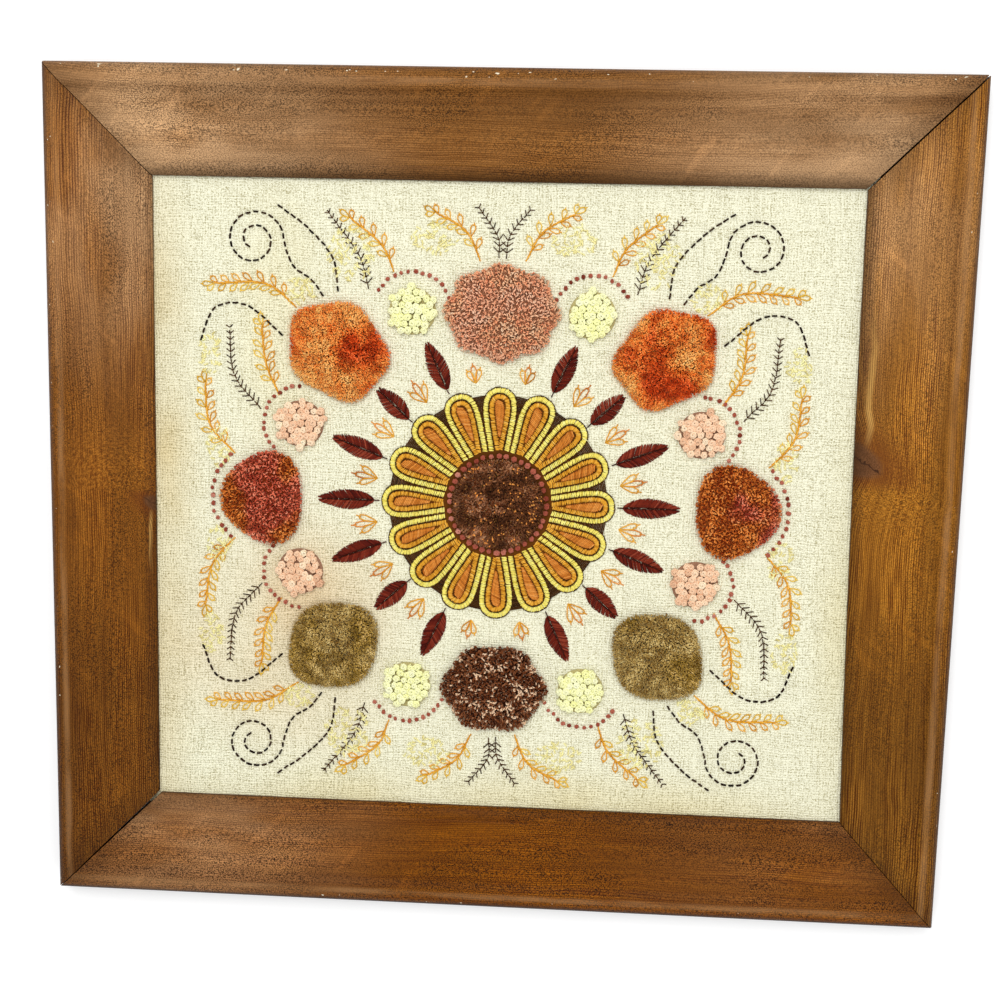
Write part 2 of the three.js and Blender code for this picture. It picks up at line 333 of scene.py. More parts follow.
class Nodes:
    """Short ways to add and join nodes in one tree."""

    def __init__(self, tree):
        self.tree = tree

    def add(self, kind, inputs=None, **settings):
        node = self.tree.nodes.new(kind)
        for setting, value in settings.items():
            setattr(node, setting, value)
        for key, value in (inputs or {}).items():
            self.join(value, node.inputs[key])
        return node

    def join(self, value, socket):
        """Link a wire or a socket to this socket, or set its value. Text is a colour."""
        if isinstance(value, Wire):
            value = value.socket
        if isinstance(value, str):
            value = rgba(value)
        if isinstance(value, bpy.types.NodeSocket):
            self.tree.links.new(value, socket)
        else:
            socket.default_value = value

    def math(self, operation, *values, clamp=False):
        inputs = dict(enumerate(values))
        node = self.add("ShaderNodeMath", inputs, operation=operation, use_clamp=clamp)
        return Wire(self, node.outputs[0])

    def remap(self, value, low, high, to_low=0.0, to_high=1.0):
        inputs = {0: value, 1: low, 2: high, 3: to_low, 4: to_high}
        node = self.add("ShaderNodeMapRange", inputs, interpolation_type="SMOOTHSTEP")
        return Wire(self, node.outputs[0])

    def blend(self, factor, first, second, way="MIX"):
        node = self.add("ShaderNodeMix", data_type="RGBA", blend_type=way)
        for socket, value in ((0, factor), (6, first), (7, second)):
            self.join(value, node.inputs[socket])
        return Wire(self, node.outputs[2])

    def stretched(self, vector, scale, offset=(0, 0, 0)):
        inputs = {"Vector": vector, "Scale": scale, "Location": offset}
        return self.add("ShaderNodeMapping", inputs, vector_type="POINT").outputs[0]

    def noise(self, vector, scale=(1, 1, 1), offset=(0, 0, 0), *, detail, roughness=0.5, to=()):
        """Noise in a stretched place. to gives the levels of a remap that follows it."""
        vector = self.stretched(vector, scale, offset)
        inputs = {"Vector": vector, "Scale": 1.0, "Detail": detail, "Roughness": roughness}
        value = Wire(self, self.add("ShaderNodeTexNoise", inputs).outputs["Fac"])
        return self.remap(value, *to) if to else value

    def combine(self, x, y, z):
        return self.add("ShaderNodeCombineXYZ", {0: x, 1: y, 2: z}).outputs[0]

    def separate(self, vector):
        outputs = self.add("ShaderNodeSeparateXYZ", {0: vector}).outputs
        return [Wire(self, socket) for socket in outputs]

    def bump(self, height, distance, strength=1.0):
        inputs = {"Height": height, "Distance": distance, "Strength": strength}
        return self.add("ShaderNodeBump", inputs).outputs["Normal"]


FLOAT, COLOUR, VECTOR = "NodeSocketFloat", "NodeSocketColor", "NodeSocketVector"
KINDS = {float: FLOAT, str: COLOUR, tuple: VECTOR}


def new_group(name, inputs, outputs):
    """A node group. inputs gives each input's value, and outputs each output's kind."""
    tree = bpy.data.node_groups.new(name, "ShaderNodeTree")
    for label, value in inputs.items():
        kind = KINDS[type(value)]
        socket = tree.interface.new_socket(label, in_out="INPUT", socket_type=kind)
        socket.default_value = rgba(value) if kind == COLOUR else value
    for label, kind in outputs.items():
        tree.interface.new_socket(label, in_out="OUTPUT", socket_type=kind)
    nodes = Nodes(tree)
    result = nodes.add("NodeGroupOutput").inputs
    sockets = nodes.add("NodeGroupInput").outputs
    given = {socket.name: Wire(nodes, socket) for socket in sockets}
    return tree, nodes, given, result


def new_material(name, **shader):
    """A material with a Principled BSDF, and the uniform values of its own sockets."""
    material = bpy.data.materials.new(name)
    material.use_nodes = True
    nodes = Nodes(material.node_tree)
    bsdf = material.node_tree.nodes["Principled BSDF"]
    for key, value in shader.items():
        bsdf.inputs[key.replace("_", " ").title().replace("Ior", "IOR")].default_value = value
    return material, nodes, bsdf.inputs


def object_millimetres(nodes):
    place = nodes.add("ShaderNodeTexCoord").outputs["Object"]
    return nodes.stretched(place, (1 / MM,) * 3)


GROWTH_PITCH = 1.25
PINE_BUMP, LINEN_BUMP, BOARD_BUMP = 0.12, 0.12, 0.1


def pine_grain_group():
    """Stained pine. Vector is in millimetres: X along the rail from its corner, Y in from its
    outer edge. Knot is the place of a knot at the inner lip, and Knot Size its half length."""
    # Besides the wood, this paints sheen near the ends, shade along the rail, and grime with
    # shade at the lip and outer edge.
    tree, nodes, given, result = new_group(
        "pine_grain",
        {
            "Vector": (0, 0, 0), "Seed": 0.0, "Length": 500.0,
            "Early Wood": "b87a3c", "Late Wood": "6a3d12", "Sheen": "bc956c",
            "Start Sheen": 0.3, "End Sheen": 0.3, "Start Shade": 1.0, "End Shade": 1.0,
            "Rings": 0.3, "Stipple": 0.5, "Lip Grime And Shade": 0.5, "Edge Grime And Shade": 0.5, "Knocks": -0.03,
            "Knot": (-900, 60, 0), "Knot Size": 9.0,
        },
        {"Color": COLOUR, "Roughness": FLOAT, "Height": FLOAT},
    )
    along, across, depth = nodes.separate(given["Vector"])
    travel = along + given["Seed"] * 700
    shifted = nodes.combine(travel, across, depth)

    # Distances from the knot, in knot sizes, leaned over so that the knot ends in a low point.
    both = {0: given["Vector"], 1: given["Knot"]}
    to_knot = nodes.add("ShaderNodeVectorMath", both, operation="SUBTRACT").outputs[0]
    up, out, _ = nodes.separate(to_knot)
    up, out = up / given["Knot Size"], out / given["Knot Size"]
    lean = up - (out + 0.75) * 0.35
    square = lean**2 + (out / 1.6) ** 2
    reach = nodes.math("SQRT", square)

    # Growth lines run nearly straight and part around the knot.
    flow = nodes.math("EXPONENT", square * -0.3)
    wander = nodes.noise(shifted, (0.004, 0.012, 0.01), detail=2)
    ripple = nodes.noise(shifted, (0.05, 0.03, 0.01), (31, 7, 0), detail=1)
    swerve = flow * (given["Knot Size"] * 1.1)
    ring_place = across + wander * 22 + ripple * 1.6 + swerve
    streak_place = nodes.combine(travel * 0.008, ring_place, 0)
    streaks = nodes.noise(streak_place, (1, 0.3, 1), detail=4, roughness=0.7)
    line_place = nodes.combine(travel * 0.045, ring_place, 3)
    lines = nodes.noise(line_place, (1, 0.95, 1), detail=1, to=(0.36, 0.64, -0.35, 0.35))
    wave = nodes.math("SINE", ring_place * (2 * math.pi / GROWTH_PITCH))
    rings = wave * 0.6 + lines
    where = nodes.noise(shifted, (0.008, 0.04, 0.01), (5, 90, 0), detail=1)
    rings = rings * nodes.remap(where, 0.36, 0.6, 0.35, 1.0) * given["Rings"]

    # Short dark pores, thick in some patches.
    levels = (0.36, 0.6, -0.5, 0.3)
    pores = nodes.noise(shifted, (1.4, 1.7, 0.9), (0, 40, 0), detail=2, roughness=0.6, to=levels)
    levels = (0.38, 0.6, 0.65, 1.25)
    patch = nodes.noise(shifted, (0.015, 0.03, 0.01), (60, 20, 0), detail=2, to=levels)
    pores = pores * given["Stipple"] * patch

    # Pale rays slant across the face.
    slant = travel * 0.75 - across * 0.66
    ray_place = nodes.combine(slant, across * 0.1, 9)
    rays = nodes.noise(ray_place, (0.15, 0.3, 1), detail=1, to=(0.62, 0.74, 0.0, 0.22))

    # Below the knot the grain curls in short arcs.
    turn = nodes.math("ARCTAN2", out, up)
    arc = reach * given["Knot Size"] * 1.45
    curl_place = nodes.combine(arc, turn * 17, 0)
    curl = nodes.noise(curl_place, detail=1, to=(0.36, 0.62, -0.3, 0.5))
    curled = nodes.remap(up, -1.6, -1.0, 1.0, 0.0) * nodes.remap(arc, 22, 74, 1.0, 0.0)
    rings = nodes.blend(curled, rings, curl * 0.7)

    light = nodes.remap(streaks, 0.28, 0.72, 0.34, 0.68) + rings
    light = nodes.math("MINIMUM", nodes.math("MAXIMUM", light, 0), 1.25)
    colour = nodes.blend(light, given["Late Wood"], given["Early Wood"])

    # Painted sheen near the ends, pale and pink, patchy with uneven stain and stronger toward the
    # lip.
    def end_sheen(distance, amount):
        fading = nodes.remap(distance, 50, 230, 1.0, 0.0) * amount
        return fading * nodes.remap(distance, 5, 60, 0.4, 1.1)

    to_end = given["Length"] - along
    levels = (0.34, 0.62, 0.42, 1.24)
    stain = nodes.noise(shifted, (0.012, 0.035, 0.02), (9, 50, 0), detail=3, to=levels)
    stain = stain * (light * 0.8 + 0.6) * nodes.remap(across, 12, 48, 0.7, 1.25)
    both_ends = end_sheen(along, given["Start Sheen"]) + end_sheen(to_end, given["End Sheen"])
    patchy_sheen = both_ends * stain
    colour = nodes.blend(nodes.math("MINIMUM", patchy_sheen, 0.85), colour, given["Sheen"])
    # Painted shade: darker towards the bottom of the picture. Uneven stain darkens some stretches
    # too.
    share = along / given["Length"]
    shade = nodes.remap(share, 0.2, 0.45, given["Start Shade"], 1.0)
    shade = shade * nodes.remap(share, 0.55, 0.8, 1.0, given["End Shade"])
    shade = shade * nodes.remap(where, 0.3, 0.7, 0.86, 1.14) * (pores + rays + 1)
    colour = nodes.blend(1.0, colour, nodes.combine(shade, shade, shade), "MULTIPLY")

    # The knot, the pale sapwood that runs up from it, and its crack.
    sap = abs(out + (ripple * 0.5 + 0.4))
    sap = nodes.remap(sap, 0.02, 0.28, 1.0, 0.0) * nodes.remap(wave, -0.8, 0.6, 0.35, 1.0)
    sap = sap * nodes.remap(up, 0.6, 1.3) * nodes.remap(up, 2.5, 9, 1.0, 0.0)
    colour = nodes.blend(sap, colour, "d6a458")
    halo = nodes.remap(reach, 0.9, 2.6, 0.6, 0.0) * nodes.remap(up, -1.6, -0.8)
    colour = nodes.blend(halo, colour, "6a3410")
    knot = nodes.remap(reach + wave * 0.06, 0.7, 1.04, 0.9, 0.0)
    knot_rings = nodes.math("SINE", reach * 17 + pores * 6)
    knot_wood = nodes.blend(nodes.remap(knot_rings, -1, 1), "54341c", "744c2e")
    colour = nodes.blend(knot, colour, knot_wood)
    wobble = nodes.noise(shifted, (0.3, 0.3, 1), detail=1) * 0.5
    crack = lean + wobble - out * 0.2
    crack = nodes.remap(abs(crack - 0.3), 0.015, 0.07, 1.0, 0.0)
    crack = crack * nodes.remap(reach, 0.8, 0.98, 0.75, 0.0)
    colour = nodes.blend(crack, colour, "28140a")

    # Painted highlight along the worn crest, and painted shade in the hollow behind it.
    levels = (0.35, 0.65, 0.3, 1.0)
    worn = nodes.noise(shifted, (0.03, 0.2, 0.1), (3, 3, 3), detail=2, to=levels)
    crest_highlight = nodes.remap(abs(across - 8.5), 0.5, 3.2, 0.42, 0.0)
    colour = nodes.blend(crest_highlight * worn, colour, "ac8054")
    hollow_shade = nodes.remap(abs(across - 14), 0.5, 4.5, 0.14, 0.0)
    colour = nodes.blend(hollow_shade, colour, "4c2a10")
    # Grime and painted shade at the lip and at the outer edge, and darker near the mitres.
    lip = nodes.remap(across, 49, 60) * given["Lip Grime And Shade"]
    edge = nodes.remap(across, 0.2, 5.5, 1.0, 0.0) * given["Edge Grime And Shade"]
    from_mitre = nodes.math("MINIMUM", along, to_end) - across
    mitre = nodes.remap(from_mitre, 0, 24, 0.32, 0.0)
    dirt_and_shade = nodes.math("MAXIMUM", nodes.math("MAXIMUM", lip, edge), mitre)
    colour = nodes.blend(dirt_and_shade, colour, "2e1c0c")

    # Small knocks at the outer edge, through the stain.
    knock = nodes.noise(shifted, (0.3, 0.4, 0.5), (0, 11, 0), detail=1) + given["Knocks"]
    beside = nodes.remap(across, 0.5, 2.5) * nodes.remap(across, 5, 8, 1.0, 0.0)
    chips = nodes.remap(knock, 0.74, 0.76) * beside
    colour = nodes.blend(chips, colour, "efe2c4")

    nodes.join(colour, result["Color"])
    nodes.join(nodes.remap(light, 0.0, 1.0, 0.56, 0.42), result["Roughness"])
    nodes.join(light * 0.5 - (crack + chips) + pores, result["Height"])
    return tree


def wool_yarn_group():
    """Dyed wool. The colour is the strand's own, heathered, and the height is its ply twist."""
    tree, nodes, given, result = new_group(
        "wool_yarn",
        {"Heather": 0.2, "Plies": 2.0, "Twist": 0.5, "Fuzz": 0.5},
        {"Color": COLOUR, "Height": FLOAT},
    )
    dye = nodes.add("ShaderNodeAttribute", attribute_name="dye").outputs["Color"]
    place = object_millimetres(nodes)
    around, along, _ = nodes.separate(nodes.add("ShaderNodeUVMap", uv_map="strand").outputs[0])
    turns = around * given["Plies"] + along * given["Twist"]
    ply = nodes.math("SINE", turns * (2 * math.pi))
    fuzz = nodes.noise(place, (3.2, 3.2, 3.2), detail=3, roughness=0.65)
    flock = nodes.noise(place, (0.9, 0.9, 0.9), (4, 9, 2), detail=2)
    tone = fuzz * 0.7 + flock * 0.6 + ply * 0.12 - 0.65
    lighter = tone * given["Heather"] + 1.0
    shade = nodes.combine(lighter, lighter, lighter)
    nodes.join(nodes.blend(1.0, dye, shade, "MULTIPLY"), result["Color"])
    nodes.join(ply + fuzz * given["Fuzz"], result["Height"])
    return tree


PINE_GRAIN = pine_grain_group()
WOOL_YARN = wool_yarn_group()


def wool_material(name, heather, plies, twist, bump):
    material, nodes, shader = new_material(
        name, roughness=0.95, specular_ior_level=0.05, sheen_weight=0.03
    )
    wool = nodes.add("ShaderNodeGroup", node_tree=WOOL_YARN)
    for key, value in (("Heather", heather), ("Plies", plies), ("Twist", twist), ("Fuzz", 0.8)):
        nodes.join(value, wool.inputs[key])
    nodes.join(wool.outputs["Color"], shader["Base Color"])
    nodes.join(nodes.bump(wool.outputs["Height"], bump * MM), shader["Normal"])
    return material


def rail_material(rail):
    """Stained pine for one rail, measured from the corner where it starts."""
    material, nodes, shader = new_material(f"{rail['node']}_pine", specular_ior_level=0.08)
    side_x, side_y = rail["sides"]
    inputs = {
        "Vector": nodes.add("ShaderNodeTexCoord").outputs["Object"],
        "Location": (side_x * FRAME_HIGH[0] * MM, side_y * FRAME_HIGH[1] * MM, 0),
        "Rotation": (0, 0, math.radians(rail["turn"])),
        "Scale": (MM,) * 3,
    }
    local = nodes.add("ShaderNodeMapping", inputs, vector_type="TEXTURE").outputs[0]
    pine = nodes.add("ShaderNodeGroup", node_tree=PINE_GRAIN)
    nodes.join(local, pine.inputs["Vector"])
    pine.inputs["Length"].default_value = 2 * FRAME_HIGH[rail["turn"] // 90 % 2]
    for key in pine.inputs.keys():
        if key in rail:
            nodes.join(rail[key], pine.inputs[key])
    # The back is bare wood, and the upright sides are darkened as painted shade.
    _, _, facing = nodes.separate(nodes.add("ShaderNodeNewGeometry").outputs["Normal"])
    bare = nodes.remap(facing, -0.9, -0.6, 1.0, 0.0)
    raw = nodes.remap(pine.outputs["Height"], 0.05, 0.5)
    raw = nodes.blend(raw, "98703e", "c49e6a")
    colour = nodes.blend(bare, pine.outputs["Color"], raw)
    upright_shade = nodes.remap(abs(facing), 0.05, 0.4, 0.6, 0.0)
    colour = nodes.blend(upright_shade, colour, "2c180a")
    nodes.join(colour, shader["Base Color"])
    nodes.join(pine.outputs["Roughness"], shader["Roughness"])
    nodes.join(nodes.bump(pine.outputs["Height"], PINE_BUMP * MM, 0.6), shader["Normal"])
    return material


# Stains on the linen, mostly on the left and along the lip: centre, half width and half height,
# tint and strength.
LINEN_STAINS = (
    ((-125, 90), (34, 95), "f4e2a2", 0.5),
    ((-120, -80), (90, 90), "eccaa8", 0.7),
    ((-196, 0), (36, 260), "e6cfa4", 0.8),
    ((0, -184), (260, 40), "e8d8ac", 0.7),
    ((200, -40), (30, 180), "ece0bc", 0.5),
)
THREAD_PITCH = 1.5


def linen_material():
    material, nodes, shader = new_material(
        "cream_linen", roughness=0.92, specular_ior_level=0.1, sheen_weight=0.04
    )
    place = object_millimetres(nodes)
    x, y, _ = nodes.separate(place)
    sag = nodes.noise(place, (0.03, 0.03, 0.02), detail=3, roughness=0.6) * 6
    weft_at, warp_at = y + sag, x + sag
    # Each thread has its own thickness and tone, and dark slubs come and go along it.
    weft_place = nodes.combine(x * 0.5, weft_at, 0)
    warp_place = nodes.combine(warp_at, y * 0.38, 7)
    weft = nodes.noise(weft_place, (1, 1.7, 1), detail=2, roughness=0.65)
    warp = nodes.noise(warp_place, (1.7, 1, 1), detail=2, roughness=0.65)
    over = nodes.math("SINE", warp_at * (2 * math.pi / THREAD_PITCH))
    under = nodes.math("SINE", weft_at * (2 * math.pi / THREAD_PITCH))
    weave = over + under
    dark = nodes.remap(weft, 0.3, 0.5, 1.0, 0.0) + nodes.remap(warp, 0.28, 0.46, 0.8, 0.0)
    pale = nodes.remap(warp, 0.56, 0.72) + nodes.remap(weft, 0.58, 0.74)
    levels = (0.4, 0.6)
    speck = nodes.noise(place, (1.1, 1.25, 1), (0, 3, 9), detail=1, roughness=0.6, to=levels)
    # Whole threads that are a little paler or darker.
    long_weft = nodes.combine(x * 0.045, weft_at, 20)
    long_warp = nodes.combine(warp_at, y * 0.045, 27)
    bars = nodes.noise(long_weft, (1, 1.9, 1), detail=1)
    bars = bars + nodes.noise(long_warp, (1.9, 1, 1), detail=1)
    bars = nodes.remap(bars, 0.8, 1.2, -0.26, 0.26)
    tone = pale * 0.5 - dark * 0.6 + bars + speck * 0.7 + weave * 0.1
    tone = nodes.math("ADD", tone, 0.6, clamp=True)
    colour = nodes.blend(tone, "b0a87c", "fefce0")
    levels = (0.58, 0.7)
    flax = nodes.noise(place, (1.1, 1.7, 1), (70, 20, 5), detail=2, roughness=0.7, to=levels)
    colour = nodes.blend(flax * 0.6, colour, "8e8258")
    # Old water stains, which come and go.
    levels = (0.35, 0.65, 0.35, 1.0)
    ages = nodes.noise(place, (0.011, 0.008, 0.01), (3, 1, 2), detail=3, to=levels)
    for (middle_x, middle_y), (half_x, half_y), tint, amount in LINEN_STAINS:
        offset = (-middle_x / half_x, -middle_y / half_y, 0)
        spot = nodes.stretched(place, (1 / half_x, 1 / half_y, 0), offset)
        away = nodes.add("ShaderNodeVectorMath", {0: spot}, operation="LENGTH").outputs["Value"]
        stain = nodes.remap(away, 0.2, 1.0, amount, 0.0) * ages
        colour = nodes.blend(stain, colour, tint, "MULTIPLY")
    nodes.join(colour, shader["Base Color"])
    height = weave + (weft + warp) * 1.5
    nodes.join(nodes.bump(height, LINEN_BUMP * MM), shader["Normal"])
    return material


def board_material():
    material, nodes, shader = new_material("brown_board", roughness=0.85, specular_ior_level=0.2)
    place = object_millimetres(nodes)
    fibre = nodes.noise(place, (0.5, 0.5, 0.5), detail=5, roughness=0.75)
    sweep = nodes.noise(place, (0.02, 0.03, 0.02), detail=3)
    tone = fibre * 0.7 + sweep * 0.3
    colour = nodes.blend(nodes.remap(tone, 0.35, 0.65), "5c4024", "8c6a44")
    nodes.join(colour, shader["Base Color"])
    nodes.join(nodes.bump(fibre, BOARD_BUMP * MM), shader["Normal"])
    return material


# ---- camera, lamps and floor ----

CAMERA_AT = (51.9, 129.5, 840.2)
CAMERA_AIM = (1.15, 2.23, 12)
CAMERA_ROLL = 1.325
LENS, SENSOR = 54, 36
CLIP_START = 10
# Name, place, size and power of each lamp.
LAMPS = (("window", (-120, 750, 1600), 1000, 16.5), ("fill", (900, -600, 1300), 1200, 4))
WORLD_STRENGTH = 0.62
FLOOR_HALF, FLOOR_DROP = 3000, 0.3
FLOOR_GREY, FLOOR_LIFT = 0.9, 0.19


def add_camera():
    at = Vector(CAMERA_AT) * MM
    forward = (Vector(CAMERA_AIM) * MM - at).normalized()
    level = forward.cross(Vector((0, 1, 0))).normalized()
    up = level.cross(forward)
    roll = math.radians(CAMERA_ROLL)
    right = level * math.cos(roll) + up * math.sin(roll)
    top = forward.cross(right) * -1
    data = bpy.data.cameras.new("camera")
    data.lens, data.sensor_width = LENS, SENSOR
    data.clip_start = CLIP_START * MM
    camera = bpy.data.objects.new("camera", data)
    rotation = Matrix((right, top, -forward)).transposed().to_4x4()
    camera.matrix_world = Matrix.Translation(at) @ rotation
    bpy.context.scene.collection.objects.link(camera)
    bpy.context.scene.camera = camera


def add_lamp(name, at, size, power):
    """A square soft box that faces the middle of the picture."""
    data = bpy.data.lights.new(name, "AREA")
    data.size, data.energy = size * MM, power
    lamp = bpy.data.objects.new(name, data)
    lamp.location = Vector(at) * MM
    lamp.rotation_euler = (-Vector(at)).to_track_quat("-Z", "Y").to_euler()
    bpy.context.scene.collection.objects.link(lamp)


def add_floor():
    """A white floor, lifted to full white where it is looked at."""
    half, below = FLOOR_HALF * MM, -FLOOR_DROP * MM
    corners = [(half * x, half * y, below) for x, y in ((-1, -1), (1, -1), (1, 1), (-1, 1))]
    mesh = bpy.data.meshes.new("floor")
    mesh.from_pydata(corners, [], [(0, 1, 2, 3)])
    material = bpy.data.materials.new("white_floor")
    material.use_nodes = True
    nodes = Nodes(material.node_tree)
    material.node_tree.nodes.clear()
    paper = nodes.add("ShaderNodeBsdfDiffuse", {"Color": (*(FLOOR_GREY,) * 3, 1)})
    path = nodes.add("ShaderNodeLightPath").outputs
    seen = nodes.math("MAXIMUM", path["Is Glossy Ray"], path["Is Transmission Ray"])
    seen = nodes.math("MAXIMUM", path["Is Camera Ray"], seen)
    # The floor is lifted to white, but not where the picture lies on it.
    x, y, _ = nodes.separate(object_millimetres(nodes))
    beyond = nodes.math("MAXIMUM", abs(x) - FRAME_HIGH[0], abs(y) - FRAME_HIGH[1])
    beyond = nodes.remap(beyond, -2, 0)
    lift = nodes.add("ShaderNodeEmission", {"Strength": seen * beyond * FLOOR_LIFT})
    both = nodes.add("ShaderNodeAddShader", {0: paper.outputs[0], 1: lift.outputs[0]})
    nodes.add("ShaderNodeOutputMaterial", {"Surface": both.outputs[0]})
    link("floor", mesh, material)


def add_world():
    world = bpy.data.worlds.new("studio")
    world.use_nodes = True
    backdrop = world.node_tree.nodes["Background"].inputs
    backdrop["Color"].default_value = (1, 1, 1, 1)
    backdrop["Strength"].default_value = WORLD_STRENGTH
    bpy.context.scene.world = world


add_camera()
add_floor()
add_world()
for lamp in LAMPS:
    add_lamp(*lamp)
bpy.context.scene.view_settings.view_transform = "Standard"

# ---- rails and board, which keep their solids ----

# Each rail's wood, measured from the corner where the rail starts: sides are that corner's, and
# turn is the way from it.
# Each rail's values paint sheen near its ends, shade that darkens towards the bottom of the
# picture, and shade with grime at its lip and outer edge.
RAILS = (
    {
        "node": "rail_bottom", "sides": (-1, -1), "turn": 0, "Seed": 1.0,
        "Early Wood": "8a5006", "Late Wood": "4a1c00", "Rings": 0.36, "Stipple": 1.5,
        "Start Sheen": 0.34, "End Sheen": 0.06, "Lip Grime And Shade": 0.25, "Edge Grime And Shade": 1.1,
    },
    {
        "node": "rail_right", "sides": (1, -1), "turn": 90, "Seed": 2.0,
        "Early Wood": "b07422", "Late Wood": "562600", "Rings": 0.75, "Stipple": 0.95,
        "Start Sheen": 0.0, "End Sheen": 0.26, "Start Shade": 0.63, "End Shade": 1.1,
        "Lip Grime And Shade": 0.6, "Edge Grime And Shade": 0.7, "Knot": (266, 60, 0), "Knot Size": 11.0,
    },
    {
        "node": "rail_top", "sides": (1, 1), "turn": 180, "Seed": 3.3,
        "Early Wood": "90602c", "Late Wood": "502800", "Rings": 0.32, "Stipple": 1.2,
        "Start Sheen": 0.6, "End Sheen": 0.74,
        "Lip Grime And Shade": 0.65, "Edge Grime And Shade": 0.2, "Knocks": 0.008,
    },
    {
        "node": "rail_left", "sides": (-1, 1), "turn": 270, "Seed": 4.7,
        "Early Wood": "9a601c", "Late Wood": "4e2000", "Rings": 0.6, "Stipple": 1.2,
        "Start Sheen": 0.38, "End Sheen": 0.0, "Start Shade": 1.05, "End Shade": 0.66,
        "Lip Grime And Shade": 0.35, "Edge Grime And Shade": 0.7, "Knot": (241, 61, 0), "Knot Size": 5.0,
    },
)
for rail in RAILS:
    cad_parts[rail["node"]].material_slots[0].material = rail_material(rail)
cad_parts["backing_board"].material_slots[0].material = board_material()

# ---- linen ----


def linen_sheet(columns=100, rows=92):
    """The cloth as one closed mesh, with its slack places."""
    x = np.linspace(LINEN_LOW[0], LINEN_HIGH[0], columns + 1)
    y = np.linspace(LINEN_LOW[1], LINEN_HIGH[1], rows + 1)
    grid = np.stack(np.meshgrid(x, y, indexing="ij"), -1)
    top = on_linen(grid).reshape(-1, 3)
    bottom = top - [0, 0, LINEN_THICKNESS]
    index = np.arange((columns + 1) * (rows + 1)).reshape(columns + 1, rows + 1)
    face = np.stack([index[:-1, :-1], index[1:, :-1], index[1:, 1:], index[:-1, 1:]], -1)
    face = face.reshape(-1, 4)
    under = face[:, ::-1] + len(top)
    rim = np.concatenate([index[:, 0], index[-1, 1:], index[-2::-1, -1], index[0, -2:0:-1]])
    following = np.roll(rim, -1)
    wall = np.stack([rim, rim + len(top), following + len(top), following], -1)
    mesh = bpy.data.meshes.new("linen_cloth")
    points = np.concatenate([top, bottom]) * MM
    mesh.from_pydata(points.tolist(), [], np.concatenate([face, under, wall]).tolist())
    mesh.polygons.foreach_set("use_smooth", np.ones(len(mesh.polygons), dtype=bool))
    return mesh


linen = link("linen_cloth", linen_sheet(), linen_material())
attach(linen, "root")
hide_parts("linen_ground")

# ---- raised flowers ----

TUFT_EDGE = 2  # upright edge under each mound, as in the part
CUT_PITCH, CUT_LENGTH = 1.06, 3.2
LOOP_PITCH, LOOP_RISE = 1.55, 1.3
BED_SEGMENTS = 32
# Loose fibres: their pitch, the depth of their roots, how far and how loosely they lean, their
# lengths, the middle of their tones and their width.
CUT_FIBRES = (CUT_PITCH * 0.62, 0.9, (75, 0.42), (1.2, 2.3), 0.72, 0.14)
LOOP_FIBRES = (LOOP_PITCH * 0.5, 1.0, (72, 0.5), (0.9, 1.7), 0.65, 0.12)


class Mound:
    """The shape of one raised flower. Its place comes from the frame, and its outline is the
    part's."""

    def __init__(self, node, half, turn=0.0, lobes=0, depth=0.0, edge=TUFT_EDGE):
        low, high = node_box(node)
        self.node, self.half, self.lobes, self.depth = node, half, lobes, depth
        self.turn = math.radians(turn)
        self.centre = (low[:2] + high[:2]) / 2
        self.foot, self.top, self.edge = low[2], high[2], edge

    def place(self, u, v, rise=0.0):
        """Points on the mound, lifted by rise, and the way out from its middle, for u and v in a
        unit circle."""
        reach = np.minimum(np.hypot(u, v), 1)
        lobe = 1 + self.depth * np.cos(self.lobes * np.arctan2(v, u))
        x, y = u * self.half[0] * lobe, v * self.half[1] * lobe
        c, s = math.cos(self.turn), math.sin(self.turn)
        x, y = x * c - y * s, x * s + y * c
        height = (self.top - self.foot - self.edge) * np.sqrt(1 - reach**2)
        height = self.foot + self.edge + height + rise
        points = np.stack([x + self.centre[0], y + self.centre[1], height], -1)
        outward = unit(np.stack([x, y, np.zeros_like(x)], -1))
        return points, outward, reach

    def scatter(self, pitch, rng, loose=0.35):
        """Evenly spaced places in the unit circle, about pitch apart on the mound."""
        steps = int(max(self.half) / pitch * 1.2) + 2
        row, column = np.meshgrid(np.arange(-steps, steps + 1), np.arange(-steps, steps + 1))
        x = (column + (row % 2) * 0.5) * pitch
        y = row * pitch * math.sqrt(0.75)
        x = x + rng.normal(0, loose * pitch * 0.5, x.shape)
        y = y + rng.normal(0, loose * pitch * 0.5, y.shape)
        u, v = (x / self.half[0]).ravel(), (y / self.half[1]).ravel()
        inside = np.hypot(u, v) < 0.985
        return u[inside], v[inside]


def add_bed(work, mound, sunk, colour, rings=5):
    """A closed dome under the wool, sunk below the mound's surface."""
    segments = BED_SEGMENTS
    angle = np.arange(segments) * (2 * math.pi / segments)
    share = 1 - sunk / min(mound.half)
    points = []
    for ring in range(rings + 1):
        spread = share * math.cos(ring / (rings + 1) * math.pi / 2)
        shell, _, _ = mound.place(spread * np.cos(angle), spread * np.sin(angle), -sunk)
        points.append(shell)
    floor = points[0].copy()
    floor[:, 2] = mound.foot - 0.1
    apex, _, _ = mound.place(np.zeros(1), np.zeros(1), -sunk)
    middle = np.array([[*mound.centre, mound.foot - 0.1]])
    points = np.concatenate([floor, *points, apex, middle])
    here = np.arange(segments)
    following = np.roll(here, -1)
    wall = np.stack([here, following, segments + following, segments + here], -1)
    quads = np.concatenate([wall + ring * segments for ring in range(rings + 1)])
    last, tip = (rings + 1) * segments, (rings + 2) * segments
    cap = np.stack([last + here, last + following, np.full(segments, tip)], -1)
    base = np.stack([following, here, np.full(segments, tip + 1)], -1)
    # The bed's colour, darker than the wool, is painted shade deep in the pile.
    work.solid(points, quads, np.concatenate([cap, base]), linear(colour))


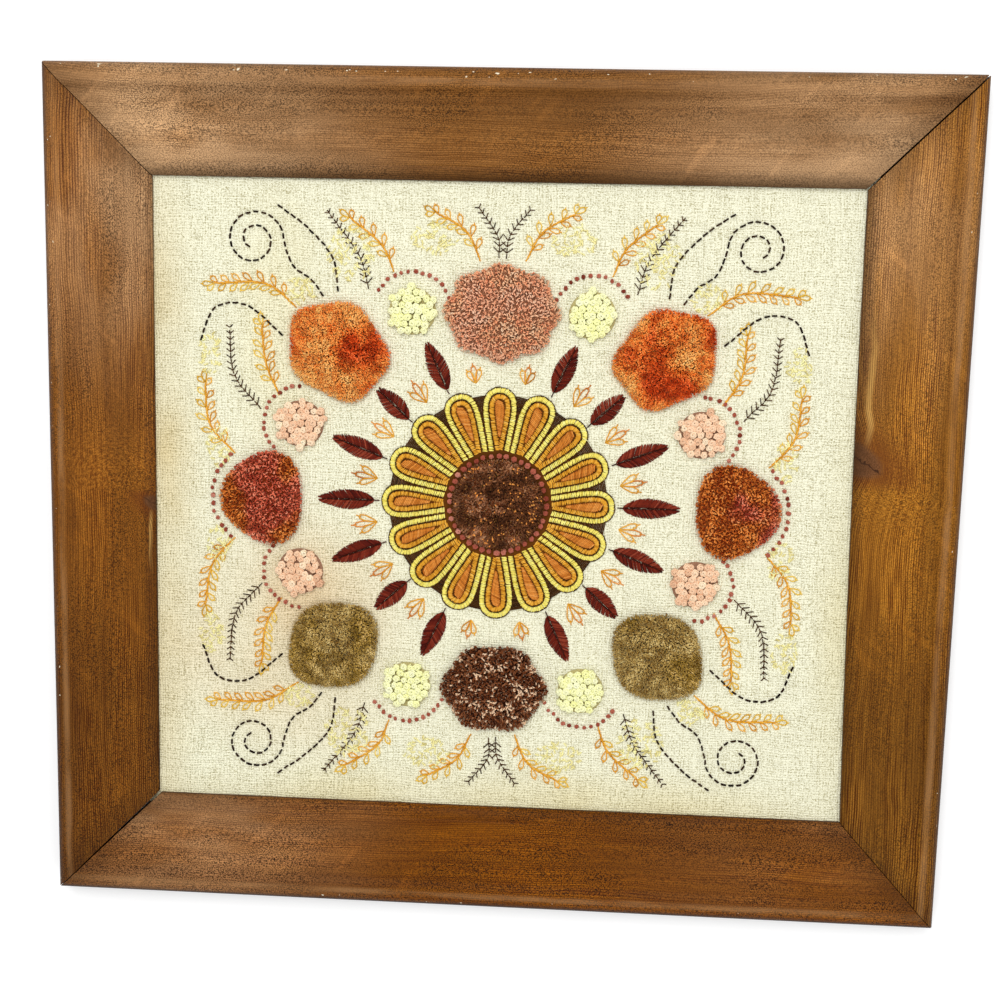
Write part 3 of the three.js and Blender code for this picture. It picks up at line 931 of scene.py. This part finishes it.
def leaning(outward, reach, rng, most, loose):
    """Directions that stand up in the middle of a mound and lean out at its rim."""
    lean = np.radians(most) * reach[:, None] ** 2.2
    way = outward * np.sin(lean) + np.array([0, 0, 1.0]) * np.cos(lean)
    return unit(way + rng.normal(0, loose, way.shape))


def add_fibres(work, mound, colours, rng, pitch, sunk, lean, lengths, middle, width):
    """Loose fibres all over a mound."""
    u, v = mound.scatter(pitch, rng, loose=0.9)
    roots, outward, reach = mound.place(u, v, -sunk)
    tips = roots + leaning(outward, reach, rng, *lean) * rng.uniform(*lengths, (len(u), 1))
    tone = colours(tips[:, 0], tips[:, 1], rng.normal(middle, 0.25, u.shape))
    work.fibres(roots, tips, width, tone)


def cut_pile(name, mound, slot, colours, seed):
    """Cut wool pile: blunt tufts with loose fibres among them, and a bed below. colours gives
    the wool's colours from places and a random depth."""
    rng = np.random.default_rng(seed)
    work = Needlework()
    u, v = mound.scatter(CUT_PITCH, rng)
    clump = cloud(u * mound.half[0], v * mound.half[1], 4, seed) - 0.5
    rise = rng.normal(0, 0.3, u.shape) + clump * 1.5 - 0.4
    tips, outward, reach = mound.place(u, v, rise)
    way = leaning(outward, reach, rng, 52, 0.34)
    bend = rng.normal(0, 0.18, way.shape)
    middle = tips - way * CUT_LENGTH * 0.45 + bend
    centres = np.stack([tips - way * CUT_LENGTH, middle, tips], axis=1)
    thick = rng.uniform(0.85, 1.15, (len(u), 1)) * CUT_PITCH / 1.3
    radii = thick * np.array([[0.44, 0.7, 0.46]])
    depth = rng.normal(0.5, 0.18, u.shape) + clump * 0.8
    tone = colours(tips[:, 0], tips[:, 1], depth)
    # Painted shade: each tuft is darker at its root, deep in the pile, and lighter at its tip.
    tone = np.stack([tone * 0.6, tone * 0.95, tone * 1.12], axis=1)
    work.strands(centres, radii, tone, facing=(0.6, 0.8, 0.02))
    add_fibres(work, mound, colours, rng, *CUT_FIBRES)
    add_bed(work, mound, 2.6, colours.bed)
    work.piece(name, WOOL_PILE, slot, mound.node)


def looped_pile(name, mound, slot, colours, seed):
    """Small uncut loops that stand up and tip over each way, with loose fibres and a bed."""
    rng = np.random.default_rng(seed)
    work = Needlework()
    u, v = mound.scatter(LOOP_PITCH, rng, loose=0.6)
    clump = cloud(u * mound.half[0], v * mound.half[1], 4.5, seed) - 0.5
    rise = rng.normal(-0.3, 0.3, u.shape) + clump * 0.9
    tops, outward, reach = mound.place(u, v, rise)
    way = leaning(outward, reach, rng, 58, 0.22)
    turn = rng.uniform(0, 2 * math.pi, u.shape)
    side = np.stack([np.cos(turn), np.sin(turn), np.zeros_like(turn)], -1)
    side = unit(side - way * np.sum(side * way, axis=1, keepdims=True))
    tip_over = np.cross(way, side) * rng.uniform(-0.9, 0.9, (len(u), 1))
    half = rng.uniform(0.75, 1.05, (len(u), 1)) * LOOP_PITCH / 2.2
    centres = []
    bow = np.array([-0.12, 0.2, 0.5, 0.8, 1.12]) * math.pi
    for t in bow:
        arch = tops + way * (LOOP_RISE * math.sin(t) - LOOP_RISE) - side * half * math.cos(t)
        centres.append(arch + tip_over * max(math.sin(t), 0))
    radii = rng.uniform(0.52, 0.68, (len(u), 1)) * np.ones((1, len(bow))) * LOOP_PITCH / 2.2
    tone = colours(tops[:, 0], tops[:, 1], rng.normal(0.5, 0.22, u.shape) + clump * 0.7)
    # Painted shade: each loop is darker at its feet and lighter over its top.
    tone = tone[:, None, :] * np.array([0.72, 1.02, 1.15, 1.02, 0.72])[None, :, None]
    work.strands(np.stack(centres, axis=1), radii, tone, facing=np.cross(way, side))
    add_fibres(work, mound, colours, rng, *LOOP_FIBRES)
    add_bed(work, mound, 2.0, colours.bed)
    work.piece(name, WOOL_LOOP, slot, mound.node)


class WoolColours:
    """Wool colours for one flower: soft clouds of several dyes, each with light and dark ends."""

    def __init__(self, bed, dyes, size, seed, sharp=0.16, tips=None, tip_share=0.0, strength=1.5):
        self.bed, self.dyes, self.size, self.seed = bed, dyes, size, seed
        self.sharp, self.tips, self.tip_share = sharp, tips, tip_share
        self.strength = strength  # the dye, lighter than a shaded pile looks

    def __call__(self, x, y, depth):
        spread = cloud(x, y, self.size, self.seed) * 0.75
        spread = spread + cloud(x, y, self.size / 2.7, self.seed + 1) * 0.25
        tone = dyed(self.dyes[0], depth)
        for step, palette in enumerate(self.dyes[1:], start=1):
            edge = 0.18 + 0.64 * step / len(self.dyes)
            share = smoothstep(edge - self.sharp, edge + self.sharp, spread)[:, None]
            tone = tone * (1 - share) + dyed(palette, depth) * share
        if self.tips:
            pale = (depth > np.quantile(depth, 1 - self.tip_share))[:, None]
            tone = np.where(pale, dyed(self.tips, depth - 0.3), tone)
        tone = tone * self.strength
        return tone * np.minimum(1, 0.9 / tone.max(axis=1, keepdims=True))


# ---- knots and flat stitches ----

KNOT_TURNS = 1.9
KNOT_RINGS = 12


def knots(work, places, colours, rng, size):
    """French knots: a strand coiled down into its own middle. places is (knots, 3), on the
    cloth. Size 1 is a knot about 4.1 across."""
    total = len(places)
    t = np.linspace(0, 1, KNOT_RINGS)[None, :]
    start = rng.uniform(0, 2 * math.pi, (total, 1))
    angle = start + t * KNOT_TURNS * 2 * math.pi
    size = size * rng.uniform(0.88, 1.12, (total, 1))
    reach = size * (1.42 - 1.3 * t**1.6)
    squash = rng.uniform(0.86, 1.14, (total, 1))
    height = size * (0.55 + 1.15 * np.sin(t * math.pi * 0.56))
    height[:, 0] = size[:, 0] * 0.1
    x, y = reach * np.cos(angle) * squash, reach * np.sin(angle) / squash
    centres = np.stack([x, y, height], axis=-1)
    radii = size * np.interp(t, [0, 0.1, 0.8, 1], [0.5, 0.66, 0.64, 0.45])
    work.strands(places[:, None, :] + centres, radii, colours, facing=(0, 0, 1), sides=6)


# How a stitch bows over the cloth: shares of its length, and its height in strand radii.
STITCH_BOW = np.array([[0, -0.7], [0.1, 0.45], [0.5, 0.85], [0.9, 0.45], [1, -0.7]])
SATIN_BOW = np.array([[0, -0.6], [0.16, 0.6], [0.84, 0.6], [1, -0.6]])
SATIN_RADIUS, SATIN_PITCH, SATIN_SLANT = 0.52, 0.95, 0.5
STEM_STITCH = 5.0
WOBBLE = 0.12  # how far a hand misses the line
# Runs of straight stitches: length, gap and radius.
INNER_OUTLINE, OUTER_OUTLINE = (2.6, 0.25, 0.34), (3.0, 0.2, 0.42)
VEIN_RUN, FERN_RUN, SCROLL_RUN = (3.0, 0.3, 0.42), (2.8, 0.3, 0.4), (2.9, 1.5, 0.68)


def stitches(work, starts, ends, radius, colours, bow=STITCH_BOW, rise=0.0):
    """Straight stitches from starts to ends on the linen, both (stitches, 2)."""
    radius = np.broadcast_to(radius, (len(starts),))
    rise = np.broadcast_to(rise, (len(starts),))
    middle = []
    for share, lift in bow:
        at = starts + (ends - starts) * share
        middle.append(on_linen(at, rise + radius * lift))
    centres = np.stack(middle, axis=1)
    taper = np.where((bow[:, 0] > 0) & (bow[:, 0] < 1), 1.0, 0.7)
    work.strands(centres, radius[:, None] * taper[None, :], colours)


class Line:
    """A smooth line through a few points, measured along its length."""

    def __init__(self, points, smooth=True):
        points = np.asarray(points, dtype=float)
        self.points = self.through(points) if smooth and len(points) > 2 else points
        steps = np.linalg.norm(np.diff(self.points, axis=0), axis=1)
        self.travel = np.concatenate([[0], np.cumsum(steps)])
        self.length = self.travel[-1]

    @staticmethod
    def through(points, steps=12):
        """A curve that passes through all the points."""
        before, after = 2 * points[:1] - points[1:2], 2 * points[-1:] - points[-2:-1]
        padded = np.concatenate([before, points, after])
        t = np.linspace(0, 1, steps, endpoint=False)[:, None]
        pieces = []
        for a, b, c, d in zip(padded, padded[1:], padded[2:], padded[3:]):
            second, third = 2 * a - 5 * b + 4 * c - d, 3 * b - a - 3 * c + d
            pieces.append(0.5 * (2 * b + (c - a) * t + second * t**2 + third * t**3))
        return np.concatenate([*pieces, padded[-2:-1]])

    def at(self, travel):
        places = [np.interp(travel, self.travel, self.points[:, axis]) for axis in (0, 1)]
        return np.stack(places, axis=-1)

    def way(self, travel, step=1.0):
        """The direction of the line."""
        ahead, behind = np.minimum(travel + step, self.length), np.maximum(travel - step, 0)
        return unit(self.at(ahead) - self.at(behind))

    def normal(self, travel):
        """The direction to the left of the line."""
        return left_of(self.way(travel, 0.4))

    def beside(self, distance, step=0.8):
        """The line that runs a distance to the left of this one."""
        travel = np.arange(0, self.length + step / 2, step)
        return Line(self.at(travel) + self.normal(travel) * distance, smooth=False)


def straight_run(work, line, length, gap, radius, palette, rng, rise=0.0):
    """Back stitch where the gap is small, and running stitch where it is wide."""
    starts = np.arange(0, line.length - length * 0.4, length + gap)
    ends = np.minimum(starts + length * rng.uniform(0.88, 1.06, starts.shape), line.length)
    a = line.at(starts) + rng.normal(0, WOBBLE, (len(starts), 2))
    b = line.at(ends) + rng.normal(0, WOBBLE, (len(starts), 2))
    tone = shades(palette, rng, len(starts), spread=0.22)
    stitches(work, a, b, radius, tone, rise=rise)


def stem_run(work, line, radius, palette, rng):
    """Stem stitch: each stitch lies beside the last, so that the line looks like a cord."""
    starts = np.arange(0, line.length - STEM_STITCH * 0.5, STEM_STITCH * 0.5)
    ends = np.minimum(starts + STEM_STITCH, line.length)
    a = line.at(starts) + line.normal(starts) * radius * 0.7
    b = line.at(ends) - line.normal(ends) * radius * 0.7
    stitches(work, a, b, radius, shades(palette, rng, len(starts)))


def satin_band(work, line, inner, outer, palette, rng, rise):
    """Satin stitches laid side by side across a line, between two distances to its left."""
    travel = np.arange(SATIN_PITCH / 2, line.length, SATIN_PITCH)
    ahead = np.clip(travel + SATIN_SLANT, 0, line.length)
    normal = line.normal(travel)
    a = line.at(travel) + normal * inner + rng.normal(0, WOBBLE, (len(travel), 2))
    b = line.at(ahead) + normal * outer + rng.normal(0, WOBBLE, (len(travel), 2))
    tone = shades(palette, rng, len(travel))
    stitches(work, a, b, SATIN_RADIUS, tone, bow=SATIN_BOW, rise=rise)


# Half of a teardrop loop: share of its length, share of its half width, height in strand radii.
TEARDROP = ((0, 0, -0.7), (0.3, 0.55, 0.6), (0.68, 1, 0.8), (0.93, 0.62, 0.8), (1, 0, 0.9))


def lazy_daisy(work, bases, tips, width, radius, palette, rng):
    """Open teardrop loops from bases to tips, each held at its tip by one small stitch."""
    way = tips - bases
    side = left_of(unit(way))
    outline = TEARDROP + tuple((share, -half, lift) for share, half, lift in TEARDROP[-2::-1])
    centres = []
    for share, half, lift in outline:
        at = bases + way * share + side * half * width / 2
        centres.append(on_linen(at, radius * lift))
    tone = shades(palette, rng, len(bases), middle=0.55)
    work.strands(np.stack(centres, axis=1), radius, tone)
    stitches(work, bases + way * 0.9, bases + way * 1.16, radius * 0.9, tone)


def mirrored(points, quarter):
    return np.asarray(points, dtype=float) * np.array(quarter)


def around(centre, reach_x, reach_y, angle):
    """Places around a centre, at angles in radians."""
    x, y = centre
    return np.stack([x + reach_x * np.cos(angle), y + reach_y * np.sin(angle)], -1)


def polar(angle, radius):
    """A place at an angle in degrees from the middle of the picture."""
    return radius * math.cos(math.radians(angle)), radius * math.sin(math.radians(angle))


QUARTERS = ((1, 1), (-1, 1), (-1, -1), (1, -1))

# ---- the picture ----

WOOL_PILE = wool_material("cut_wool_pile", 0.9, 1, 0, 0.10)
WOOL_LOOP = wool_material("looped_wool", 0.7, 2, 0.6, 0.12)
WOOL_KNOT = wool_material("knotted_wool", 0.35, 2, 0.5, 0.10)
WOOL_STITCH = wool_material("twisted_wool", 0.5, 2, 0.45, 0.10)

disc = Mound("sunflower_disc", (25.6, 25.6))
# Each wool's first colour is its bed's, darker than the wool as painted shade deep in the pile.
wool = WoolColours("1c0b02", (BROWN, CHESTNUT), 9, 11, tips=RUST, tip_share=0.05)
cut_pile("sunflower_disc_pile", disc, "brown_wool", wool, seed=101)
# Flowers on each side: how far each is turned, and what is added to their seeds.
for side, marigold_turn, moss_turn, fig_turn, shift in (
    ("right", 40, -40, 0, 0),
    ("left", 140, 220, 180, 50),
):
    marigold = Mound(f"marigold_{side}", (30, 26), marigold_turn, 5, 0.06)
    wool = WoolColours("5a1c04", (DEEP_RUST, RUST, PALE_RUST), 17, 21 + shift)
    cut_pile(f"marigold_{side}_pile", marigold, "rust_wool", wool, seed=111 + shift)
    moss = Mound(f"moss_{side}", (28, 25), moss_turn, 4, 0.05)
    wool = WoolColours("2e2006", (OLIVE, PALE_OLIVE), 15, 31 + shift)
    cut_pile(f"moss_{side}_pile", moss, "olive_wool", wool, seed=121 + shift)
    fig = Mound(f"fig_{side}", (24, 27), fig_turn, 3, 0.08)
    wool = WoolColours("7a2c0c", (ROSE_CORE, OCHRE), 19, 41 + shift, sharp=0.1, strength=1.75)
    looped_pile(f"fig_{side}_loops", fig, "ochre_wool", wool, seed=131 + shift)
dahlia = Mound("dahlia_top", (32, 27), 0, 8, 0.05)
wool = WoolColours("8e5c40", (MAUVE, DUSTY_PINK), 16, 51, strength=2.45)
looped_pile("dahlia_top_loops", dahlia, "mauve_wool", wool, seed=141)
dahlia = Mound("dahlia_bottom", (30, 26), 0, 6, 0.05)
wool = WoolColours("2a0f04", (CHESTNUT,), 12, 61, tips=BEIGE, tip_share=0.2, strength=1.6)
looped_pile("dahlia_bottom_loops", dahlia, "chestnut_wool", wool, seed=151)

# French-knot clusters.
CLUSTER_PITCH, CLUSTER_KNOT = 3.9, 1.32


def knot_cluster(node, slot, palette, shaded_bed_colour, seed):
    """French knots side by side on a low bed."""
    rng = np.random.default_rng(seed)
    low, high = node_box(node)
    half = (high[:2] - low[:2]) / 2
    mound = Mound(node, tuple(half - 1.3), edge=0)
    u, v = mound.scatter(CLUSTER_PITCH, rng, loose=0.22)
    places, _, reach = mound.place(u, v)
    places[:, 2] = mound.foot + 0.3 + 1.0 * np.sqrt(1 - reach**2)
    work = Needlework()
    tone = np.minimum(shades(palette, rng, len(places), 0.68, 0.13) * 1.2, 0.96)
    knots(work, places, tone, rng, CLUSTER_KNOT)
    bed = Mound(node, tuple(half - 1.6), edge=0.1)
    bed.top = bed.foot + 1.5
    add_bed(work, bed, 0.4, shaded_bed_colour, rings=3)
    work.piece(f"{node}_stitched", WOOL_KNOT, slot, node)


# The beds under the knots are darker than the knots, as painted shade between them.
for step, corner in enumerate(("upper_left", "upper_right", "lower_left", "lower_right")):
    knot_cluster(f"knots_inner_{corner}", "cream_wool", CREAM, "bcb078", 200 + step)
    knot_cluster(f"knots_outer_{corner}", "rose_wool", PALE_ROSE, "9c745c", 210 + step)

# Sunflower petals: bands of satin stitch that follow each petal's edge, from lemon outside to
# orange along the middle, with dark lines between.
PETALS = 16
PETAL_ROOT, PETAL_TIP = 29.5, 65.2
SECTOR = math.pi / PETALS
LEMON_BAND, GOLD_BAND, ORANGE_EDGE = (0.2, 2.9), (3.7, 6.2), 6.7
BAND_STEP = 3.3  # from the petal's edge to the line that the gold band follows
LEMON_RISE, GOLD_RISE, ORANGE_RISE = 0.75, 1.15, 1.45
NOTCH, NOTCH_PITCH, NOTCH_RADIUS = (49, 61.5), 0.9, 0.5
PAD_ROOT, PAD_SEGMENTS = 23.4, 160
RING_KNOTS, RING_RADIUS, RING_KNOT = 40, 27.1, 0.95


def petal_half_width(radius):
    share = np.clip((radius - PETAL_ROOT) / (PETAL_TIP - PETAL_ROOT), 0, 1)
    return 0.95 * math.tan(SECTOR) * radius * np.sqrt(1 - share**5)


def petal(work, dark, turn, rng):
    """One petal, and the dark satin in the notch before the next."""
    share = np.sin(np.linspace(0, math.pi / 2, 26))
    radius = PETAL_ROOT + (PETAL_TIP - PETAL_ROOT) * share
    half = petal_half_width(radius)
    edge = np.concatenate([np.stack([radius, -half], -1), np.stack([radius, half], -1)[-2::-1]])
    axis = np.array([math.cos(turn), math.sin(turn)])
    side = left_of(axis)
    outline = Line(edge[:, :1] * axis + edge[:, 1:] * side, smooth=False)
    inline = outline.beside(BAND_STEP)
    satin_band(work, outline, *LEMON_BAND, LEMON, rng, rise=LEMON_RISE)
    satin_band(work, inline, *np.subtract(GOLD_BAND, BAND_STEP), GOLD, rng, rise=GOLD_RISE)
    straight_run(dark, inline, *INNER_OUTLINE, DARK, rng, rise=GOLD_RISE)
    straight_run(dark, outline.beside(-0.2), *OUTER_OUTLINE, DARK, rng, rise=0.25)
    # Slanting orange stitches, in a shape that is rounded at the tip.
    end = PETAL_TIP - ORANGE_EDGE
    out = np.arange(PETAL_ROOT + 0.5, end - 0.4, SATIN_PITCH)
    half = np.maximum(petal_half_width(out) - ORANGE_EDGE, 0)
    half = half * np.sqrt(np.maximum(1 - ((out - (end - 4)) / 4.2).clip(0) ** 2, 0))
    out, half = out[half > 0.5], half[half > 0.5]
    a = (out - 0.5 * half)[:, None] * axis - half[:, None] * side
    b = (out + 0.5 * half)[:, None] * axis + half[:, None] * side
    tone = shades(ORANGE, rng, len(out))
    stitches(work, a, b, SATIN_RADIUS, tone, bow=SATIN_BOW, rise=ORANGE_RISE)
    ray = np.array([math.cos(turn + SECTOR), math.sin(turn + SECTOR)])
    cross = left_of(ray)
    out = np.arange(*NOTCH, NOTCH_PITCH)
    gap = math.tan(SECTOR) * out - petal_half_width(out) + 0.2
    a = out[:, None] * ray - gap[:, None] * cross
    b = out[:, None] * ray + gap[:, None] * cross
    stitches(dark, a, b, NOTCH_RADIUS, shades(DARK, rng, len(out)), bow=SATIN_BOW, rise=0.4)


def petal_pad(work):
    """A flat closed pad under the petals, scalloped at its rim."""
    angle = np.arange(PAD_SEGMENTS) * (2 * math.pi / PAD_SEGMENTS)
    rim = 52 + 11 * np.sqrt(np.abs(np.cos(PETALS * angle / 2)))
    loops = ((PAD_ROOT, -0.2), (rim, -0.2), (rim, 0.5), (PAD_ROOT, 0.8))
    points = [on_linen(around((0, 0), reach, reach, angle), height) for reach, height in loops]
    here = np.arange(PAD_SEGMENTS)
    following = np.roll(here, -1)
    quads = []
    for step in range(len(loops)):
        first, second = step * PAD_SEGMENTS, (step + 1) % len(loops) * PAD_SEGMENTS
        corners = [first + here, second + here, second + following, first + following]
        quads.append(np.stack(corners, -1))
    work.solid(np.concatenate(points), np.concatenate(quads), NO_TRIANGLES, linear("6a3c10"))


def sunflower():
    rng = np.random.default_rng(301)
    work, dark, ring = Needlework(), Needlework(), Needlework()
    for step in range(PETALS):
        petal(work, dark, 2 * SECTOR * step, rng)
    petal_pad(work)
    work.piece("sunflower_petal_satin", WOOL_STITCH, "gold_wool", "sunflower_petals")
    dark.piece("sunflower_outline_stitches", WOOL_STITCH, "brown_wool")
    angle = np.arange(RING_KNOTS) * (2 * math.pi / RING_KNOTS) + rng.normal(0, 0.012, RING_KNOTS)
    radius = RING_RADIUS + rng.normal(0, 0.25, RING_KNOTS)
    places = on_linen(around((0, 0), radius, radius, angle), 0.7)
    knots(ring, places, shades(ROSE, rng, RING_KNOTS, middle=0.55), rng, RING_KNOT)
    ring.piece("sunflower_knot_ring", WOOL_KNOT, "rose_wool")


sunflower()

# Burgundy leaves around the sunflower: angle, inner and outer radius. One more lies at each side.
LEAVES = ((65, 70, 99), (42.4, 69, 94), (20.6, 70, 101))
SIDE_LEAF = ((70, 0), (103, 0))
LEAF_HALF, LEAF_RADIUS = 5.6, 0.5


def leaf(work, veins, base, tip, rng):
    """Fishbone satin on both sides of a vein."""
    length = np.linalg.norm(tip - base)
    way = (tip - base) / length
    side = left_of(way)
    t = np.arange(0.03, 0.97, 0.85 / length)
    width = LEAF_HALF * np.sin(math.pi * t**0.82) ** 0.8
    for flip in (1, -1):
        outer = base + (t * length)[:, None] * way + flip * width[:, None] * side
        inner = base + (np.clip(t - 0.11, 0, 1) * length)[:, None] * way + flip * 0.25 * side
        outer = outer + rng.normal(0, WOBBLE, outer.shape)
        tone = shades(BURGUNDY, rng, len(t), 0.5 + 0.12 * flip)
        stitches(work, inner, outer, LEAF_RADIUS, tone, bow=SATIN_BOW, rise=0.1)
    vein = Line([base - way * 3, base + way * length * 0.94], smooth=False)
    straight_run(veins, vein, *VEIN_RUN, VEIN, rng, rise=0.55)


leaves, veins = Needlework(), Needlework()
rng = np.random.default_rng(401)
for quarter in QUARTERS:
    for angle, inner, outer in LEAVES:
        leaf(leaves, veins, *mirrored((polar(angle, inner), polar(angle, outer)), quarter), rng)
for quarter in QUARTERS[:2]:
    leaf(leaves, veins, *mirrored(SIDE_LEAF, quarter), rng)
leaves.piece("burgundy_leaves", WOOL_STITCH, "chestnut_wool")
veins.piece("leaf_veins", WOOL_STITCH, "brown_wool")

# Gold sprays with open leaflets, for one quarter of the picture: the stem's points and the
# number of leaflet pairs.
SPRAYS = (
    (((13, 134), (21, 150), (38, 160)), 5),
    (((60, 127), (67, 142), (84, 156)), 5),
    (((113, 107), (132, 119), (160, 119)), 7),
    (((149, 24), (163, 40), (166, 64)), 6),
    (((123, 58), (132, 75), (134, 97)), 6),
)
STEM_RADIUS, LEAFLET_RADIUS, LEAFLET_WIDTH = 0.48, 0.42, 2.9
stems, leaflets = Needlework(), Needlework()
rng = np.random.default_rng(501)
for quarter in QUARTERS:
    for points, pairs in SPRAYS:
        wiggle = rng.normal(0, 0.5, (len(points), 2))
        stem = Line(mirrored(points, quarter) + wiggle)
        stem_run(stems, stem, STEM_RADIUS, GOLD, rng)
        travel = np.linspace(0.2, 0.97, pairs) * stem.length
        for flip in (1, -1):
            at = stem.at(travel + flip * 0.9)
            out = stem.way(travel) * 0.75 + flip * stem.normal(travel) * 0.7
            out = unit(out + rng.normal(0, 0.06, out.shape))
            size = np.interp(travel / stem.length, (0, 0.5, 1), (6.0, 7.4, 5.2))[:, None]
            palette = STRAW if flip > 0 else GOLD
            base, tip = at + out * 0.6, at + out * size
            lazy_daisy(leaflets, base, tip, LEAFLET_WIDTH, LEAFLET_RADIUS, palette, rng)
        end = stem.at(np.array([stem.length]))
        tip = end + unit(end - stem.at(np.array([stem.length - 2]))) * 6.5
        lazy_daisy(leaflets, end, tip, LEAFLET_WIDTH, LEAFLET_RADIUS, STRAW, rng)
stems.piece("gold_stems", WOOL_STITCH, "gold_wool")

# Small fans of loops between the leaves: angle, inner radius and length.
FANS = ((78.5, 68.5, 9), (53.7, 69, 12), (31.5, 69, 12), (10.3, 69, 12))
# Spread, share of the length and wool of each loop in a fan.
FAN_LOOPS = ((-26, 0.9, GOLD), (0, 1.1, ORANGE), (26, 0.9, GOLD))
FAN_WIDTH, FAN_RADIUS = 3.2, 0.45
for quarter in QUARTERS:
    for angle, inner, length in FANS:
        for spread, share, palette in FAN_LOOPS:
            base = np.array([polar(angle, inner)])
            tip = base + np.array([polar(angle + spread, length * share)])
            base, tip = mirrored(base, quarter), mirrored(tip, quarter)
            lazy_daisy(leaflets, base, tip, FAN_WIDTH, FAN_RADIUS, palette, rng)
leaflets.piece("lazy_daisy_leaflets", WOOL_STITCH, "gold_wool")

# Running-stitch scrolls in the corners, with sweeps beside them.
SCROLL_AT = (138, 143)
SCROLL_REACH = (17.5, 4.5)
SCROLL_START, SCROLL_TURNS = 205, 1.75
SCROLL_LEAD = ((99, 113), (106, 122), (116, 129))
SWEEPS = (
    ((91, 116), (94, 134), (108, 150), (126, 163)),
    ((122, 91), (142, 107), (160, 105), (168, 87)),
)
share = np.linspace(0, 1, 60)
reach = SCROLL_REACH[0] + (SCROLL_REACH[1] - SCROLL_REACH[0]) * share
turn = math.radians(SCROLL_START) - share * SCROLL_TURNS * 2 * math.pi
scroll = np.concatenate([SCROLL_LEAD, around(SCROLL_AT, reach, reach, turn)[2:]])
scrolls = Needlework()
rng = np.random.default_rng(601)
for quarter in QUARTERS:
    for path in (scroll, *SWEEPS):
        line = Line(mirrored(path, quarter))
        straight_run(scrolls, line, *SCROLL_RUN, BLACK_BROWN, rng)
scrolls.piece("scroll_running_stitch", WOOL_STITCH, "brown_wool")

# Swags of rose knots: centre, radius and the angles between which they lie.
SWAGS = (((49.5, 106), 21.5, 30, 158), ((111.5, 42), 21, -42, 88), ((130, 0), 31.5, 0, 48))
SWAG_PITCH, SWAG_KNOT = 3.5, 0.72
swags = Needlework()
rng = np.random.default_rng(701)
for quarter in QUARTERS:
    for centre, reach, low, high in SWAGS:
        count = int(math.radians(high - low) * reach / SWAG_PITCH)
        spots = around(centre, reach, reach, np.radians(np.linspace(low, high, count)))
        spots = mirrored(spots + rng.normal(0, 0.3, spots.shape), quarter)
        tone = shades(ROSE, rng, count, spread=0.25)
        knots(swags, on_linen(spots), tone, rng, SWAG_KNOT)
swags.piece("rose_knot_swags", WOOL_KNOT, "rose_wool")

# Pale seed stitches and dark fern sprigs fill the ground. Each patch of seeds has a centre, half
# its width and height, and a number of stitches.
SEED_RADIUS = 0.5
SEED_PATCHES = (
    ((84, 136), (13, 15), 100),
    ((38, 146), (13, 9), 66),
    ((163, 80), (7, 12), 50),
    ((158, 28), (7, 12), 44),
    ((112, 116), (9, 8), 44),
)
seeds = Needlework()
rng = np.random.default_rng(801)
for quarter in QUARTERS:
    for centre, (half_x, half_y), count in SEED_PATCHES:
        angle, reach = rng.uniform(0, 2 * math.pi, count), np.sqrt(rng.uniform(0, 1, count))
        spots = mirrored(around(centre, half_x * reach, half_y * reach, angle), quarter)
        way = rng.uniform(0, math.pi, count)
        half = np.stack([np.cos(way), np.sin(way)], -1) * rng.uniform(0.9, 1.4, (count, 1))
        tone = shades(SEED, rng, count, 0.55, 0.25)
        stitches(seeds, spots - half, spots + half, SEED_RADIUS, tone)
seeds.piece("seed_stitches", WOOL_STITCH, "cream_wool")

FERNS = (
    ((74, 118), (80, 136), (98, 160)),
    ((134, 50), (149, 68), (152, 95)),
    ((2, 136), (3, 148), (14, 163)),
)
FERN_PITCH, FERN_ARM_RADIUS = 3.4, 0.36
ferns = Needlework()
rng = np.random.default_rng(901)
for quarter in QUARTERS:
    for points in FERNS:
        wiggle = rng.normal(0, 0.4, (len(points), 2))
        stem = Line(mirrored(points, quarter) + wiggle)
        straight_run(ferns, stem, *FERN_RUN, DARK, rng)
        travel = np.arange(3, stem.length, FERN_PITCH)
        at, size = stem.at(travel), (4.6 - 2.2 * travel / stem.length)[:, None]
        for flip in (1, -1):
            arm = unit(stem.way(travel) * 0.8 + flip * stem.normal(travel)) * size
            tone = shades(DARK, rng, len(travel))
            stitches(ferns, at, at + arm, FERN_ARM_RADIUS, tone)
ferns.piece("fern_stitches", WOOL_STITCH, "brown_wool")
